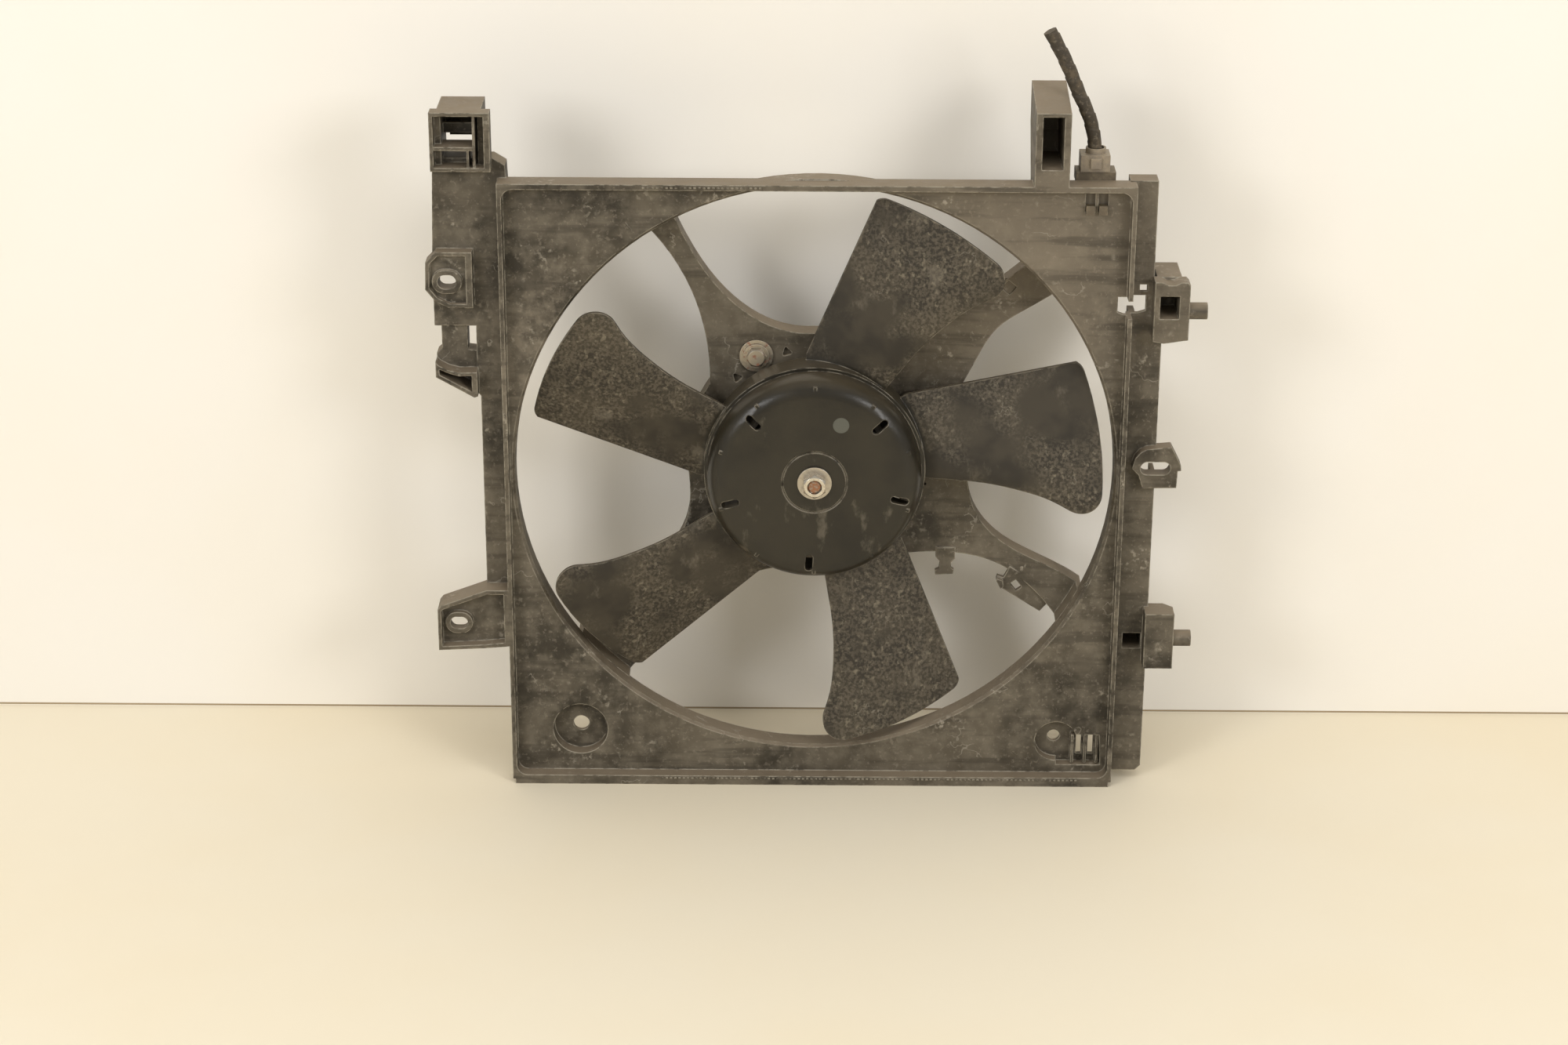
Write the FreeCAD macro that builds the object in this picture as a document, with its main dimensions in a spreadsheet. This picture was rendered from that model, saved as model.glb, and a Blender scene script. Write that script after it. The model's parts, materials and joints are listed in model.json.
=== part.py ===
import FreeCAD, Part
import Sketcher

import math
import os

# Radiator fan shroud with its electric fan.  Millimetres.
# Origin: on the fan axis, in the plane of the shroud's front rim (the side that faces the radiator).
# +X to the right seen from the front, +Y rearwards along the fan axis, +Z up.

doc = FreeCAD.newDocument("fan_shroud")
Vec = FreeCAD.Vector
SHEET = doc.addObject("Spreadsheet::Sheet", "Sizes")

DIMENSIONS = {
    # tray
    "tray_half_width": 170.0,
    "tray_top": 167.5,
    "tray_bottom": -183.5,
    "tray_depth": 14.0,
    "rim_wall": 2.5,
    "bottom_lip": 3.0,
    "lip_inset": 1.5,
    "panel_front": 8.0,
    "panel_wall": 2.5,
    "inner_corner": 6.0,
    # fan opening and its barrel
    "ring_bore": 165.0,
    "ring_wall": 3.5,
    "barrel_rear": 21.0,
    "opening_flat": 162.5,
    "mouth_round": 1.5,
    # wings beside the tray
    "wing_front": 11.5,
    "wing_rear": 24.0,
    "wing_wall": 2.5,
    "left_wing_edge": 206.5,
    "left_wing_bottom": 84.5,
    "left_strip_edge": 182.5,
    "right_wing_edge": 187.5,
    "right_strip_edge": 182.0,
    # motor carrier
    "carrier_front": 40.0,
    "carrier_radius": 71.5,
    "carrier_bore": 56.0,
    "arm_front": 31.0,
    "arm_depth": 13.0,
    "web_wall": 2.5,
    "screw_circle": 67.0,
    "screw_hole": 3.3,
    "screw_radius": 3.0,
    "screw_washer_thickness": 1.5,
    "boss_height": 6.0,
    # fan
    "hub_face": -3.0,
    "hub_radius": 59.0,
    "hub_flange": 61.0,
    "flange_front": 13.0,
    "hub_rear": 30.0,
    "hub_wall": 2.5,
    "hub_round": 10.5,
    "blade_tip": 158.0,
    "blade_thickness": 2.4,
    "slot_circle": 48.0,
    "blade_lead_tip": -4.0,
    "blade_trail_tip": 24.5,
    "blade_lead_root": 14.5,
    "blade_trail_root": 26.0,
    # shaft line
    "shaft_radius": 4.0,
    "shaft_front": -10.0,
    "shaft_rear": 93.0,
    "insert_radius": 8.5,
    "insert_length": 15.0,
    "bush_radius": 8.4,
    "washer_radius": 9.4,
    "washer_thickness": 1.5,
    "nut_width": 12.0,
    "nut_height": 6.0,
    # motor
    "can_radius": 46.0,
    "can_wall": 2.0,
    "can_rear": 88.0,
    "ear_thickness": 3.0,
    "cover_front": 18.0,
    "cover_radius": 40.0,
    "air_gap": 0.9,
    "armature_front": 55.0,
    "armature_length": 24.0,
    "armature_slots": 12.0,
    "magnet_thickness": 8.0,
    "commutator_radius": 12.0,
    "running_clearance": 0.04,
    "fit_gap": 0.3,
    # brackets
    "bracket_wall": 2.0,
    "left_bracket_depth": 34.0,
    "column_depth": 46.0,
    "peg_radius": 4.6,
    "peg_length": 10.0,
    "loom_diameter": 7.3,
}

for row, (alias, value) in enumerate(DIMENSIONS.items(), start=1):
    SHEET.set(f"A{row}", alias.replace("_", " "))
    SHEET.set(f"B{row}", str(value))
    SHEET.setAlias(f"B{row}", alias)
doc.recompute()


class Size:
    """A length with the spreadsheet formula that gives it."""

    def __init__(self, value, text):
        self.value = value
        self.text = text

    @staticmethod
    def of(other):
        if isinstance(other, Size):
            return other
        return Size(float(other), f"({float(other)})")

    def __add__(self, other):
        other = Size.of(other)
        return Size(self.value + other.value, f"({self.text} + {other.text})")

    def __radd__(self, other):
        return Size.of(other) + self

    def __sub__(self, other):
        other = Size.of(other)
        return Size(self.value - other.value, f"({self.text} - {other.text})")

    def __rsub__(self, other):
        return Size.of(other) - self

    def __mul__(self, other):
        other = Size.of(other)
        return Size(self.value * other.value, f"({self.text} * {other.text})")

    def __rmul__(self, other):
        return Size.of(other) * self

    def __neg__(self):
        return Size(-self.value, f"(-{self.text})")


class Sizes:
    """Reads a driving dimension of the sheet as a Size."""

    def __getattr__(self, alias):
        return Size(float(SHEET.get(alias)), f"Sizes.{alias}")


s = Sizes()
LENGTH_UNIT = " * 1 mm"


def bind(obj, path, size, unit=LENGTH_UNIT):
    obj.setExpression(path, f"{Size.of(size).text}{unit}")


# ------------------------------------------------------------------ sketches

def origin_plane(body, role):
    return next(item for item in body.Origin.OriginFeatures if item.Role == role)


PLANES = {"front": ("XZ_Plane", -1), "side": ("YZ_Plane", 1), "top": ("XY_Plane", 1)}


def sketch_on(body, name, plane, distance):
    """A sketch parallel to an origin plane: front draws (x, z), side draws (y, z), top draws (x, y).

    The distance is along +Y, +X or +Z.
    """
    role, sense = PLANES[plane]
    sketch = body.newObject("Sketcher::SketchObject", name)
    sketch.AttachmentSupport = (origin_plane(body, role), [""])
    sketch.MapMode = "FlatFace"
    bind(sketch, ".AttachmentOffset.Base.z", Size.of(distance) * sense)
    return sketch


def place(sketch, geometry, point, x, z):
    """Fixes one point of a sketch at x, z from the sketch's origin."""
    for kind, size in (("DistanceX", x), ("DistanceY", z)):
        size = Size.of(size)
        index = sketch.addConstraint(Sketcher.Constraint(kind, -1, 1, geometry, point, size.value))
        bind(sketch, f"Constraints[{index}]", size)


def polygon(sketch, corners):
    """Closed outline through corners, each an (x, z) pair of sizes."""
    points = [Vec(Size.of(x).value, Size.of(z).value, 0) for x, z in corners]
    first = sketch.GeometryCount
    count = len(points)
    for i in range(count):
        sketch.addGeometry(Part.LineSegment(points[i], points[(i + 1) % count]), False)
    for i in range(count):
        after = first + (i + 1) % count
        sketch.addConstraint(Sketcher.Constraint("Coincident", first + i, 2, after, 1))
    for i, (x, z) in enumerate(corners):
        place(sketch, first + i, 1, x, z)


def rectangle(sketch, x0, x1, z0, z1):
    polygon(sketch, [(x0, z0), (x1, z0), (x1, z1), (x0, z1)])


def circle(sketch, x, z, radius):
    radius = Size.of(radius)
    centre = Vec(Size.of(x).value, Size.of(z).value, 0)
    index = sketch.addGeometry(Part.Circle(centre, Vec(0, 0, 1), radius.value), False)
    place(sketch, index, 3, x, z)
    rule = sketch.addConstraint(Sketcher.Constraint("Radius", index, radius.value))
    bind(sketch, f"Constraints[{rule}]", radius)


def obround(sketch, x0, x1, z, radius):
    """Level slot outline between x0 and x1, with round ends of the given radius."""
    x0, x1, z, radius = (Size.of(item) for item in (x0, x1, z, radius))
    left = Vec(x0.value + radius.value, z.value, 0)
    right = Vec(x1.value - radius.value, z.value, 0)
    up = Vec(0, radius.value, 0)
    side = Vec(radius.value, 0, 0)
    first = sketch.GeometryCount
    sketch.addGeometry(Part.Arc(left + up, left - side, left - up), False)
    sketch.addGeometry(Part.LineSegment(left - up, right - up), False)
    sketch.addGeometry(Part.Arc(right - up, right + side, right + up), False)
    sketch.addGeometry(Part.LineSegment(right + up, left + up), False)
    for i in range(4):
        sketch.addConstraint(Sketcher.Constraint("Tangent", first + i, 2, first + (i + 1) % 4, 1))
    place(sketch, first, 3, x0 + radius, z)
    place(sketch, first + 2, 3, x1 - radius, z)
    rule = sketch.addConstraint(Sketcher.Constraint("Radius", first, radius.value))
    bind(sketch, f"Constraints[{rule}]", radius)


# ------------------------------------------------------------------ features

def pad(body, name, start, end, draw, plane="front", refine=False):
    """Material between two distances from an origin plane; draw(sketch) gives the outline."""
    sketch = sketch_on(body, f"{name}_outline", plane, start)
    draw(sketch)
    feature = body.newObject("PartDesign::Pad", name)
    feature.Profile = sketch
    feature.Reversed = plane == "front"
    feature.Refine = refine
    bind(feature, "Length", Size.of(end) - start)
    return feature


def pocket(body, name, start, end, draw, plane="front", refine=False):
    """Removes material between two distances from an origin plane."""
    sketch = sketch_on(body, f"{name}_outline", plane, start)
    draw(sketch)
    feature = body.newObject("PartDesign::Pocket", name)
    feature.Profile = sketch
    feature.Reversed = plane != "front"
    feature.Refine = refine
    bind(feature, "Length", Size.of(end) - start)
    return feature


def turned(body, name, profile, subtract=False):
    """Revolves a closed (radius, y) profile about the fan axis."""
    sketch = body.newObject("Sketcher::SketchObject", f"{name}_profile")
    sketch.AttachmentSupport = (origin_plane(body, "XY_Plane"), [""])
    sketch.MapMode = "FlatFace"
    polygon(sketch, profile)
    kind = "PartDesign::Groove" if subtract else "PartDesign::Revolution"
    feature = body.newObject(kind, name)
    feature.Profile = sketch
    feature.ReferenceAxis = (sketch, ["V_Axis"])
    feature.Angle = 360.0
    return feature


def edges_where(shape, test):
    return [f"Edge{i}" for i, edge in enumerate(shape.Edges, start=1) if test(edge)]


def round_edges(body, name, base, radius, test):
    """Fillets the edges of a feature that the test accepts."""
    doc.recompute()
    names = edges_where(base.Shape, test)
    if not names:
        raise RuntimeError(f"{name}: no edge found to round")
    feature = body.newObject("PartDesign::Fillet", name)
    feature.Base = (base, names)
    bind(feature, "Radius", radius)
    return feature


def runs_along_y(edge):
    ends = [vertex.Point for vertex in edge.Vertexes]
    return len(ends) == 2 and abs(ends[0].x - ends[1].x) < 1e-6 and abs(ends[0].z - ends[1].z) < 1e-6


def upright_at(x, z):
    """Accepts an edge parallel to the fan axis that passes x, z."""
    x, z = Size.of(x).value, Size.of(z).value
    return lambda edge: runs_along_y(edge) and math.hypot(
        edge.Vertexes[0].X - x, edge.Vertexes[0].Z - z) < 1e-4


def new_body(label):
    body = doc.addObject("PartDesign::Body", f"{label}_body")
    body.Label = label
    return body


def shaped(label, shape):
    """A sub-part whose form needs Part's own functions."""
    feature = doc.addObject("Part::Feature", label)
    feature.Label = label
    feature.Shape = shape
    return feature


def joined(label, pieces):
    """One moulding fused from several features."""
    fuse = doc.addObject("Part::MultiFuse", f"{label}_fuse")
    fuse.Shapes = pieces
    fuse.Refine = True
    fuse.Label = label
    return fuse


NODES = []


def keep(obj):
    NODES.append(obj)
    return obj


# ------------------------------------------------------------------ shroud: tray and barrel

def tray_features(body):
    half = s.tray_half_width
    inner = half - s.rim_wall
    panel_rear = s.panel_front + s.panel_wall
    floor = s.tray_bottom + s.rim_wall
    ceiling = s.opening_flat + 1.9
    lip_half = half - s.lip_inset

    pad(body, "tray_block", 0, s.tray_depth,
        lambda k: rectangle(k, -half, half, s.tray_bottom, s.tray_top))
    recess = pocket(body, "front_recess", 0, s.panel_front,
                    lambda k: rectangle(k, -inner, inner, floor, ceiling))
    corners = [upright_at(x, z) for x in (-inner, inner) for z in (floor, ceiling)]
    round_edges(body, "recess_corners", recess, s.inner_corner,
                lambda edge: any(corner(edge) for corner in corners))
    pocket(body, "rear_recess", panel_rear, s.tray_depth,
           lambda k: rectangle(k, -inner, inner, floor, ceiling))
    pad(body, "bottom_lip", 0, s.tray_depth,
        lambda k: rectangle(k, -lip_half, lip_half, s.tray_bottom - s.bottom_lip, floor))
    pad(body, "barrel", panel_rear - 0.5, s.barrel_rear,
        lambda k: circle(k, 0, 0, s.ring_bore + s.ring_wall))
    pocket(body, "opening", s.panel_front, s.barrel_rear, lambda k: circle(k, 0, 0, s.ring_bore))
    turned(body, "opening_mouth",
           [(s.ring_bore - 1, s.panel_front),
            (s.ring_bore + s.mouth_round, s.panel_front),
            (s.ring_bore - 1, s.panel_front + s.mouth_round + 1)], subtract=True)
    pad(body, "opening_flat", s.panel_front, panel_rear,
        lambda k: rectangle(k, -31, 31, s.opening_flat, s.tray_top - 1))


def wing_features(body):
    web_rear = s.wing_front + s.wing_wall
    tray_side = s.tray_half_width
    edge, strip = -s.left_wing_edge, -s.left_strip_edge
    wall = s.wing_wall
    neck = strip - 1.5

    pad(body, "left_wing", s.wing_front, s.wing_rear, lambda k: polygon(k, [
        (1 - tray_side, -101), (1 - tray_side, s.tray_top - 3), (4.5 - tray_side, s.tray_top - 3),
        (4 - tray_side, s.tray_top + 7), (-172.6, 178.5), (edge + 1.8, 178.5),
        (edge, 120), (edge, s.left_wing_bottom), (neck, s.left_wing_bottom), (neck, 46),
        (strip, 44), (strip, -101)]))
    pocket(body, "left_wing_back", web_rear, s.wing_rear, lambda k: polygon(k, [
        (-tray_side - wall, wall - 101), (-tray_side - wall, 174),
        (-tray_side - wall - 1, 176), (edge + wall + 1.8, 176), (edge + wall, 120),
        (edge + wall, s.left_wing_bottom + wall), (neck + wall, s.left_wing_bottom + wall),
        (neck + wall, 46), (strip + wall, 44), (strip + wall, wall - 101)]))

    edge, strip = s.right_wing_edge, s.right_strip_edge
    pad(body, "right_wing", s.wing_front, s.wing_rear, lambda k: polygon(k, [
        (tray_side - 1, -181), (edge - 3, -181), (edge, -178), (edge, 82), (strip, 82),
        (strip, s.tray_top + 0.5), (s.tray_half_width - 3, s.tray_top + 0.5),
        (tray_side - 3, s.tray_top - 3), (tray_side - 1, s.tray_top - 3)]))
    pocket(body, "right_wing_back", web_rear, s.wing_rear, lambda k: polygon(k, [
        (tray_side + wall, wall - 181), (edge - wall - 2, wall - 181), (edge - wall, -175),
        (edge - wall, 82 - wall), (strip - wall, 82 - wall), (strip - wall, s.tray_top - 2),
        (tray_side + wall, s.tray_top - 2)]))


def wing_holes(body):
    """Openings through the wings and the rim that the blocks and tabs beside them look onto."""
    pocket(body, "rim_window", 0, s.wing_rear, lambda k: polygon(k, [
        (162.6, 95.5), (166, 94.2), (174, 94.2), (178, 95.5), (178, 104.2), (162.6, 104.2)]))
    pocket(body, "small_square", s.wing_front, s.wing_rear,
           lambda k: rectangle(k, 174.5, 178.6, 106.4, 110.2))
    pocket(body, "square_hole", s.wing_front, s.wing_rear,
           lambda k: rectangle(k, 174, 184, -104.7, -95.4))
    pocket(body, "wing_slot_upper", s.wing_front, s.wing_rear,
           lambda k: obround(k, -203.3, -193.3, 111.4, 3.9))
    pocket(body, "wing_slot_right", s.wing_front, s.wing_rear,
           lambda k: obround(k, 178.9, 195.3, 6.2, 3.75))


# ------------------------------------------------------------------ shroud: corner recesses of the panel

def panel_details(body):
    panel_rear = s.panel_front + s.panel_wall
    cup_x, cup_z, cup_radius, cup_floor = -131.6, -155.6, 15.4, 16.0
    wall = s.panel_wall

    pad(body, "cup_shell", s.panel_front, cup_floor + wall,
        lambda k: circle(k, cup_x, cup_z, cup_radius + wall))
    pocket(body, "cup_hollow", s.panel_front, cup_floor, lambda k: circle(k, cup_x, cup_z, cup_radius))
    pocket(body, "cup_hole", cup_floor, cup_floor + wall, lambda k: circle(k, cup_x, cup_z, 4.5))

    shelf = 14.0
    pad(body, "pocket_shell", s.panel_front, shelf + wall,
        lambda k: rectangle(k, 123.5, 166.5, -181.5, -146.5))
    pocket(body, "pocket_round", s.panel_front, shelf, lambda k: circle(k, 138.5, -161.5, 12))
    pocket(body, "pocket_square", s.panel_front, shelf, lambda k: polygon(k, [
        (139, -176.3), (164, -176.3), (163, -157.5), (147, -157.2), (139, -150)]))
    pocket(body, "pocket_hole", shelf, shelf + wall, lambda k: circle(k, 137.5, -160.6, 3.5))
    for i, x in enumerate((150.5, 157.2)):
        pocket(body, f"pocket_slot_{i}", shelf, shelf + wall,
               lambda k, x=x: rectangle(k, x, x + 3, -172, -158.5))
    for i, x in enumerate((147.2, 154.4, 161.2)):
        pad(body, f"pocket_rib_{i}", s.panel_front + 1, shelf,
            lambda k, x=x: rectangle(k, x, x + 1.6, -175.5, -158))

    for i, x in enumerate((143.1, 150.0)):
        pocket(body, f"clip_slot_{i}", s.panel_front, panel_rear,
               lambda k, x=x: rectangle(k, x, x + 5.1, 151.5, 162))


def barrel_gussets(body):
    """Radial plates that tie the barrel to the back of the panel in the four corners."""
    root, reach, half = s.ring_bore + 2, s.ring_bore + 22, 1.0
    for i, angle in enumerate((33, 57, 123, 147, 213, 237, 303, 327)):
        x, z = polar(1, angle)
        dx, dz = polar(half, angle + 90)
        pad(body, f"gusset_{i}", s.panel_front + 1, s.barrel_rear - 4, lambda k: polygon(k, [
            (root * x + dx, root * z + dz), (reach * x + dx, reach * z + dz),
            (reach * x - dx, reach * z - dz), (root * x - dx, root * z - dz)]))


# ------------------------------------------------------------------ shroud: brackets and tabs

def left_bracket(body):
    """Hollow box at the upper left corner that hooks over the radiator's side tank."""
    wall = s.bracket_wall
    left, right, low, high = -204.5, -172.6, 174.0, 206.0
    rear = s.left_bracket_depth
    collar = 9.0

    pad(body, "bracket_box", 0, rear, lambda k: rectangle(k, -201, -177.6, low, high))
    pad(body, "bracket_collar", 0, collar, lambda k: rectangle(k, left, right, low, high))
    pocket(body, "bracket_mouth", 0, collar - wall,
           lambda k: rectangle(k, left + wall, right - wall - 1.3, low + wall, high - wall))
    pocket(body, "bracket_hollow", 0, rear - wall,
           lambda k: rectangle(k, wall - 201, -177.6 - wall, low + wall, high - wall))
    pocket(body, "bracket_window", rear - wall, rear,
           lambda k: rectangle(k, wall - 201, -180, low + wall, 185.5))
    pocket(body, "bracket_notch", rear - wall, rear,
           lambda k: rectangle(k, wall - 201, -196.8, 185.5, 192))
    pad(body, "bracket_shelf", 0.5, 15.5,
        lambda k: rectangle(k, left + 1, right - 7.9, 185.4, 187.3))
    pad(body, "bracket_divider", 0.5, 20,
        lambda k: rectangle(k, right - 9.2, right - 7.9, low + 1, high - 1))
    pad(body, "bracket_lower_divider", 0.5, 10,
        lambda k: rectangle(k, right - 12.4, right - 11.2, low + 1, 186))
    pad(body, "bracket_crossbar", 18, 20,
        lambda k: rectangle(k, -202, right - 8, 190.5, 196))


def right_column(body):
    """Tall slotted column at the top right, deepest behind the tray."""
    left, right = 115.0, 133.5
    rear = s.column_depth
    panel_rear = s.panel_front + s.panel_wall
    pad(body, "column_block", left, right, lambda k: polygon(k, [
        (0, s.tray_top - 2), (0, s.tray_top + 40), (12, s.tray_top + 41.5), (rear, s.tray_top + 46),
        (rear, s.tray_top + 24), (s.barrel_rear, s.tray_top - 22), (panel_rear, s.tray_top - 22),
        (panel_rear, s.tray_top - 2)]), plane="side")
    pocket(body, "column_slot", 0, rear - 3,
           lambda k: rectangle(k, left + 3.6, right - 3.6, s.tray_top + 9.3, s.tray_top + 38))


def right_block(body):
    """Block with a square pocket and a locating peg, level with the window in the rim."""
    left, right, low, high = 181.5, 200.5, 80.5, 115.0
    collar = 11.0
    pad(body, "block_body", collar - 1, 36, lambda k: rectangle(k, 183.5, 196.8, low + 1, high))
    pad(body, "block_collar", 0, collar, lambda k: polygon(k, [
        (left, low + 1), (right - 13, low), (right, low + 2), (right, high - 1.5),
        (right - 1.5, high), (right - 5, high), (right - 8, high - 1.6), (right - 12, high - 1.6),
        (right - 15, high), (left, high)]))
    pocket(body, "block_pocket", 0, 24, lambda k: rectangle(k, 184.6, 195, 94.4, 107.2))
    pad(body, "upper_peg", right - 1, right + s.peg_length,
        lambda k: circle(k, 5.5, 97.5, s.peg_radius), plane="side")


def lower_block(body):
    """Lower right block with its peg, and the square hole beside it in the wing."""
    right = 201.2
    pad(body, "lower_block_body", -112, -79, lambda k: polygon(k, [
        (185, 0), (right, 0), (right, 11), (196, 16), (185, 16)]), plane="top")
    pad(body, "lower_peg", right - 1, right + s.peg_length,
        lambda k: circle(k, 5.5, -95.4, s.peg_radius), plane="side")


def left_tabs(body):
    """Two screw tabs with slotted holes on the left side."""
    pad(body, "upper_tab", 4, s.wing_front + s.wing_wall, lambda k: polygon(k, [
        (-184.5, 128.2), (-203.9, 128.2), (-209.5, 122.4), (-210, 107.2), (-204.6, 100.4),
        (-197.5, 97), (-184.5, 97)]))
    pocket(body, "upper_tab_recess", 4, 6.5, lambda k: polygon(k, [
        (-188, 126), (-203, 126), (-207.3, 121.5), (-207.8, 108), (-203.5, 102.5),
        (-197, 99.2), (-188, 99.2)]))
    pad(body, "upper_tab_boss", 4.5, s.wing_front, lambda k: obround(k, -206.3, -190.3, 111.4, 6.6))
    pocket(body, "upper_tab_slot", 4, s.wing_rear, lambda k: obround(k, -203.3, -193.3, 111.4, 3.9))

    pad(body, "lower_tab", 0, 16, lambda k: polygon(k, [
        (-209.5, -103.5), (-209.5, -79), (-207.6, -76.6), (-182, -67), (-169.5, -67),
        (-169.5, -101), (-184, -102.2)]))
    pocket(body, "lower_tab_recess", 0, 6, lambda k: polygon(k, [
        (-207.5, -101.3), (-207.5, -79.9), (-206.6, -78.8), (-182, -69.5), (-172.5, -69.5),
        (-172.5, -98.8), (-184, -100)]))
    pocket(body, "lower_tab_back", 9, 16, lambda k: polygon(k, [
        (-207.3, -101.3), (-207.3, -79.9), (-206.4, -78.8), (-182, -69.5), (-172.5, -69.5),
        (-172.5, -98.8), (-184, -100)]))
    pad(body, "lower_tab_boss", 3, 9, lambda k: obround(k, -205.6, -190.4, -88, 6.4))
    pocket(body, "lower_tab_slot", 0, 16, lambda k: obround(k, -202.9, -193.1, -88, 3.6))


def right_tab(body):
    """Snapped tab with a long slot, half way up the right side."""
    pad(body, "right_tab", 5.5, s.wing_front + s.wing_wall, lambda k: polygon(k, [
        (180.5, -5.6), (199, -5.2), (199.4, 4.6), (201.2, 4.9), (201, 8), (198.2, 13.6),
        (195.6, 18.6), (188.4, 18), (182, 17.2), (178.8, 15.6), (175.8, 12), (174.2, 6), (178, 2.2)]))
    pocket(body, "right_tab_slot", 5.5, s.wing_rear, lambda k: obround(k, 178.9, 195.3, 6.2, 3.75))


def hook_clip(body):
    """Open clip under the left wing that carries a hose or a loom."""
    pad(body, "clip_back", s.wing_front + 2, s.wing_rear, lambda k: polygon(k, [
        (-203, 86), (-203, 70.6), (-206, 68), (-206, 57.3), (-185.4, 45.7), (-183, 45.7),
        (-183, 69.6), (-189, 70.2), (-189, 86)]))
    pad(body, "clip_wall", 4, s.wing_rear, lambda k: polygon(k, [
        (-206, 66), (-204.4, 64.1), (-199.5, 61.4), (-193.7, 59.9), (-183.5, 60.2),
        (-183.5, 46.4), (-185.4, 45.7), (-206, 57.3)]))
    pocket(body, "clip_hollow", 4, s.wing_rear - 4, lambda k: polygon(k, [
        (-204, 61.8), (-199, 59.6), (-193.5, 57.9), (-186.6, 58.2), (-186.6, 49), (-204, 58.6)]))


# ------------------------------------------------------------------ shroud: motor carrier and its arms

# Sides of the four arms, from the motor plate out to the ring, in (x, z).
# Each arm is (leading side, trailing side) going anticlockwise seen from the front.
ARM_SIDES = {
    "upper_right": ([(69, 19), (77, 34), (88, 56), (100, 77), (112, 86.5), (133, 101)],
                    [(22, 69), (54, 76), (84, 91), (118.5, 119)]),
    "upper_left": ([(-4, 72), (-25, 76), (-50, 95), (-65, 116), (-80, 148)],
                   [(-58.5, 42), (-60, 68), (-66, 92), (-75, 112), (-95, 138)]),
    "lower_left": ([(-71.6, -5), (-69.6, -24), (-72.5, -43), (-100, -76), (-133, -104)],
                   [(-20, -69), (-46, -77), (-76, -99), (-107, -131)]),
    "lower_right": ([(36, -62), (58, -58.5), (80, -58), (103, -63), (121, -75), (139, -96)],
                    [(71, 9), (79, 4), (85, -10), (89, -29), (103, -48), (133, -64), (150, -74)]),
}
# Radii of the ribs that cross the arms' channels.
CHANNEL_RIBS = (92.0, 115.0, 138.0)
ARM_ORDER = ["upper_right", "upper_left", "lower_left", "lower_right"]


def smooth_edge(points, y):
    curve = Part.BSplineCurve()
    curve.interpolate([Vec(x, y, z) for x, z in points])
    return curve.toShape()


def on_circle(point, radius):
    """The point moved along its own direction from the axis onto a circle."""
    scale = radius / math.hypot(*point)
    return (point[0] * scale, point[1] * scale)


def arc_between(start, end, radius, y, turn):
    """Arc about the fan axis from start to end; turn is +1 anticlockwise seen from the front."""
    first = math.atan2(start[1], start[0])
    last = math.atan2(end[1], end[0])
    sweep = (last - first) * turn % (2 * math.pi)
    middle = first + turn * sweep / 2
    on_arc = Vec(radius * math.cos(middle), y, radius * math.sin(middle))
    return Part.Arc(Vec(start[0], y, start[1]), on_arc, Vec(end[0], y, end[1])).toShape()


def shifted_side(points, distance):
    """The side moved square to itself, to the left of its direction for a positive distance."""
    moved = []
    for i, (x, z) in enumerate(points):
        x0, z0 = points[max(i - 1, 0)]
        x1, z1 = points[min(i + 1, len(points) - 1)]
        length = math.hypot(x1 - x0, z1 - z0)
        moved.append((x - (z1 - z0) / length * distance, z + (x1 - x0) / length * distance))
    return moved


def window_between(arm, next_arm, ring, plate, wall, y, depth):
    """Prism of the air gap between two neighbouring arms, widened by a wall on all sides."""
    near = shifted_side(ARM_SIDES[arm][1], -wall)
    far = shifted_side(ARM_SIDES[next_arm][0], wall)
    near[0], near[-1] = on_circle(near[0], plate - wall), on_circle(near[-1], ring)
    far[0], far[-1] = on_circle(far[0], plate - wall), on_circle(far[-1], ring)
    outline = Part.Wire([
        smooth_edge(near, y),
        arc_between(near[-1], far[-1], ring, y, 1),
        smooth_edge(list(reversed(far)), y),
        arc_between(far[0], near[0], plate - wall, y, -1),
    ])
    return Part.Face(outline).extrude(Vec(0, depth, 0))


def ring_solid(profile):
    """Solid turned about the fan axis from (radius, y) corners."""
    points = [Vec(radius, y, 0) for radius, y in profile]
    face = Part.Face(Part.makePolygon(points + points[:1]))
    return face.revolve(Vec(0, 0, 0), Vec(0, 1, 0), 360)


def carrier_shape():
    """Dished band with four windows, hollow at the back so that plate and arms are channels."""
    bore, plate, ring = s.carrier_bore.value, s.carrier_radius.value, s.ring_bore.value
    front, arm, depth = s.carrier_front.value, s.arm_front.value, s.arm_depth.value
    outer, barrel = ring + s.ring_wall.value, s.barrel_rear.value
    web = s.web_wall.value
    leg = ring - 0.2
    flat = plate + 5.5
    lip = front + s.boss_height.value
    dish = ring_solid([
        (bore, front), (flat, front), (leg, arm), (leg, barrel - 2), (outer, barrel - 2),
        (outer, arm + depth), (leg - 8, arm + depth), (plate + 2, front + depth), (bore, front + depth)])
    hollow = ring_solid([
        (bore + web, front + web), (flat, front + web), (leg - 0.5, arm + web),
        (leg - 0.5, arm + depth + 1), (plate + 2, front + depth + 1), (bore - 1, front + depth + 1),
        (bore - 1, lip), (bore + web, lip)])
    reach = front + depth + 4 - barrel
    for radius in CHANNEL_RIBS:
        rib = ring_solid([(radius, arm), (radius + web, arm), (radius + web, front + depth - 3),
                          (radius, front + depth - 3)])
        hollow = hollow.cut(rib)
    for i, arm_name in enumerate(ARM_ORDER):
        following = ARM_ORDER[(i + 1) % len(ARM_ORDER)]
        dish = dish.cut(window_between(arm_name, following, outer + 1, plate, 0, barrel - 3, reach))
        hollow = hollow.cut(window_between(arm_name, following, outer + 1, plate, web, barrel - 3, reach))
    return dish.cut(hollow)




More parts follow.
